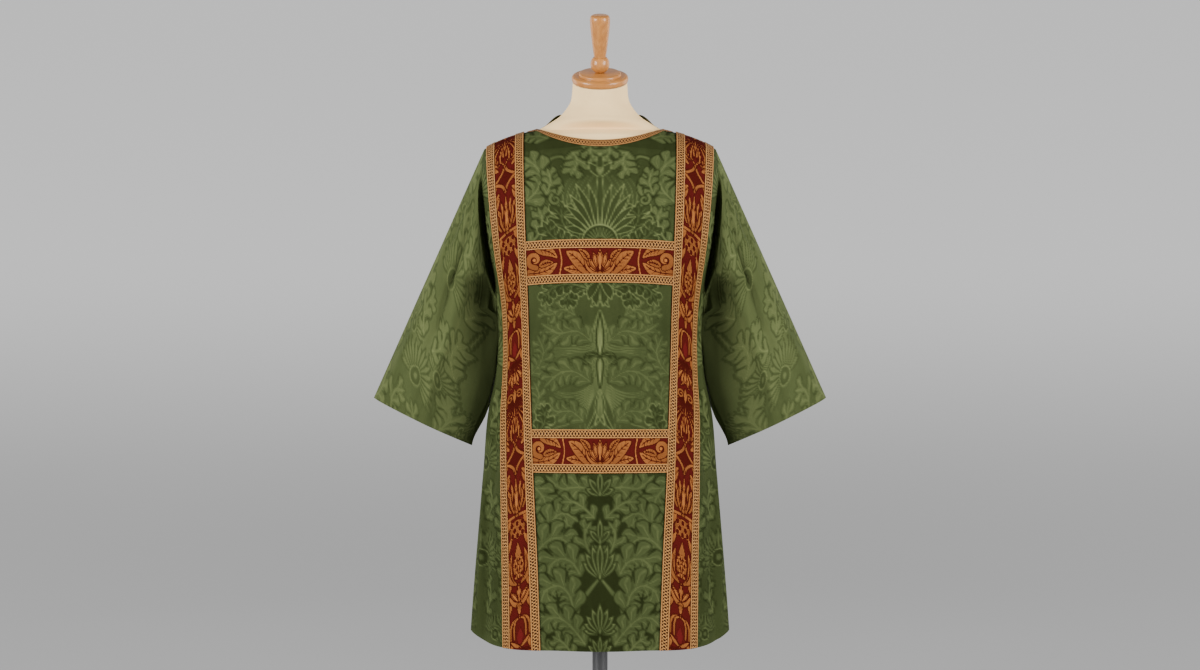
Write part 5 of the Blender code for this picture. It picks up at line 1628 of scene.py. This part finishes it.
def add_stand(material):
    profile = [(0.0, SOCKET_TOP)] + arc((SOCKET_RADIUS - 0.003, SOCKET_TOP - 0.003), 0.003, 90, 0, 6)
    profile += [(SOCKET_RADIUS, BASE_HEIGHT + 0.001), (SOCKET_RADIUS + 0.006, BASE_HEIGHT - 0.001)]
    profile += arc((BASE_RADIUS - 0.008, BASE_HEIGHT - 0.014), 0.008, 80, 0, 10)
    profile += [(BASE_RADIUS, 0.0), (0.0, 0.0)]
    stands_for(turned_mesh("stand_foot", profile, material, 128), "stand_base")
    bottom, top, chamfer = SOCKET_TOP + GAP, FORM_BOTTOM_Z - GAP, 0.0005
    side = [(POLE_RADIUS - chamfer, top), (POLE_RADIUS, top - chamfer),
            (POLE_RADIUS, bottom + chamfer), (POLE_RADIUS - chamfer, bottom)]
    rod = turned_mesh("stand_rod", [(0.0, top), *side, (0.0, bottom)], material, 64)
    stands_for(rod, "stand_pole")


# ---- Camera, light and floor ----
COVE_FLOOR = (1.5, 3.5)
COVE_BEND = 5.0
COVE_TOP = 9.0
COVE_SIDES = 128
COVE_PAINT = ((0.3, 0.155), (0.7, 0.165))
# The cove's glow up to a height, and its share from before the object to behind it, over these lengths.
COVE_GLOW, COVE_GLOW_TO = ((0.0, 0.29), (0.5, 0.63), (1.0, 0.60)), 3.0
COVE_FRONT, COVE_FRONT_FROM, COVE_FRONT_OVER = ((0.0, 0.45), (1.0, 1.0)), 6.0, 7.0
SKY, SKY_STRENGTH = (0.80, 0.81, 0.82, 1.0), 0.18
# Each soft box: where it is, the height it is turned to, and its power.
BOX_SIZE = (2.2, 3.0)
LIGHTS = {
    "left_box": ((-3.56, -2.59, 1.95), 1.25, 395),
    "right_box": ((3.56, -2.59, 1.95), 1.25, 380),
    "back_left": ((-3.7, 2.4, 2.0), 1.15, 36),
    "back_right": ((3.7, 2.4, 2.0), 1.15, 36),
}


def put_in_scene(name, data):
    thing = bpy.data.objects.new(name, data)
    bpy.context.scene.collection.objects.link(thing)
    return thing


def add_camera():
    data = bpy.data.cameras.new("camera")
    data.sensor_width = SENSOR
    data.lens = FOCAL_PIXELS / PICTURE_WIDTH * SENSOR
    data.clip_end = 50.0
    camera = put_in_scene("camera", data)
    camera.location = CAMERA_AT
    camera.rotation_euler = (math.radians(90), 0.0, 0.0)
    bpy.context.scene.camera = camera


def add_lights():
    for name, (at, towards, power) in LIGHTS.items():
        data = bpy.data.lights.new(name, "AREA")
        data.shape = "RECTANGLE"
        data.size, data.size_y = BOX_SIZE
        data.energy = power
        light = put_in_scene(name, data)
        light.location = at
        way = Vector((0.0, 0.0, towards)) - Vector(at)
        light.rotation_euler = way.to_track_quat("-Z", "Y").to_euler()


def cove_material():
    n = Nodes("studio_cove")
    place = n.object_place()
    parts = n.node("ShaderNodeSeparateXYZ", {0: place}).outputs
    glow = n.ramp(n.math("DIVIDE", parts[2], COVE_GLOW_TO), COVE_GLOW, "EASE")
    behind = n.math("DIVIDE", n.math("ADD", parts[1], COVE_FRONT_FROM), COVE_FRONT_OVER)
    glow = n.mix(1.0, glow, n.ramp(behind, COVE_FRONT, "EASE"), "MULTIPLY")
    n.put(glow, n.shader.inputs["Emission Color"])
    paint = n.ramp(n.noise(place, 0.5), COVE_PAINT)
    return n.finish(paint, 0.9, Specular_IOR_Level=0.1, Emission_Strength=1.0)


def add_studio():
    """A round cove that runs from the floor up into the wall, with a little light from the sky."""
    world = bpy.data.worlds.new("studio")
    world.use_nodes = True
    background = world.node_tree.nodes["Background"]
    background.inputs[0].default_value, background.inputs[1].default_value = SKY, SKY_STRENGTH
    bpy.context.scene.world = world
    foot = COVE_FLOOR[1]
    profile = [(radius, 0.0) for radius in COVE_FLOOR]
    profile += [(foot + COVE_BEND * math.sin(a), COVE_BEND * (1 - math.cos(a)))
                for a in np.radians(np.arange(6, 91, 6))] + [(foot + COVE_BEND, COVE_TOP)]
    rings = level_rings(profile, COVE_SIDES)
    index = 1 + np.arange(len(rings) * COVE_SIDES).reshape(-1, COVE_SIDES)
    faces = fan(0, index[0]) + grid_faces(index, closed=True).tolist()
    add_mesh("cove", np.concatenate([[(0.0, 0.0, 0.0)], *rings]).tolist(), faces, cove_material())


# ---- All of it ----
add_camera()
add_lights()
add_studio()
damask, brocade, galloon = damask_material(), brocade_material(), galloon_material()
damask_drawn = draw_damask()
damask_design, orphrey_design = damask_drawn.softened(2.4), draw_orphrey().softened(1.0)
apparel_design = draw_apparel().softened(1.0)
for side in (-1, 1):
    add_panels(side, damask, damask_design)
    add_orphreys(side, brocade, orphrey_design)
    add_apparels(side, brocade, apparel_design)
    add_braids(side, galloon)
    add_neck_braid(side, galloon)
add_sleeves(damask, damask_drawn.softened(1.7))
add_form(jersey_material())
add_woodwork(beech_material("beech_cap", CAP_GRAIN), beech_material("beech_finial", FINIAL_GRAIN))
add_stand(stand_material())
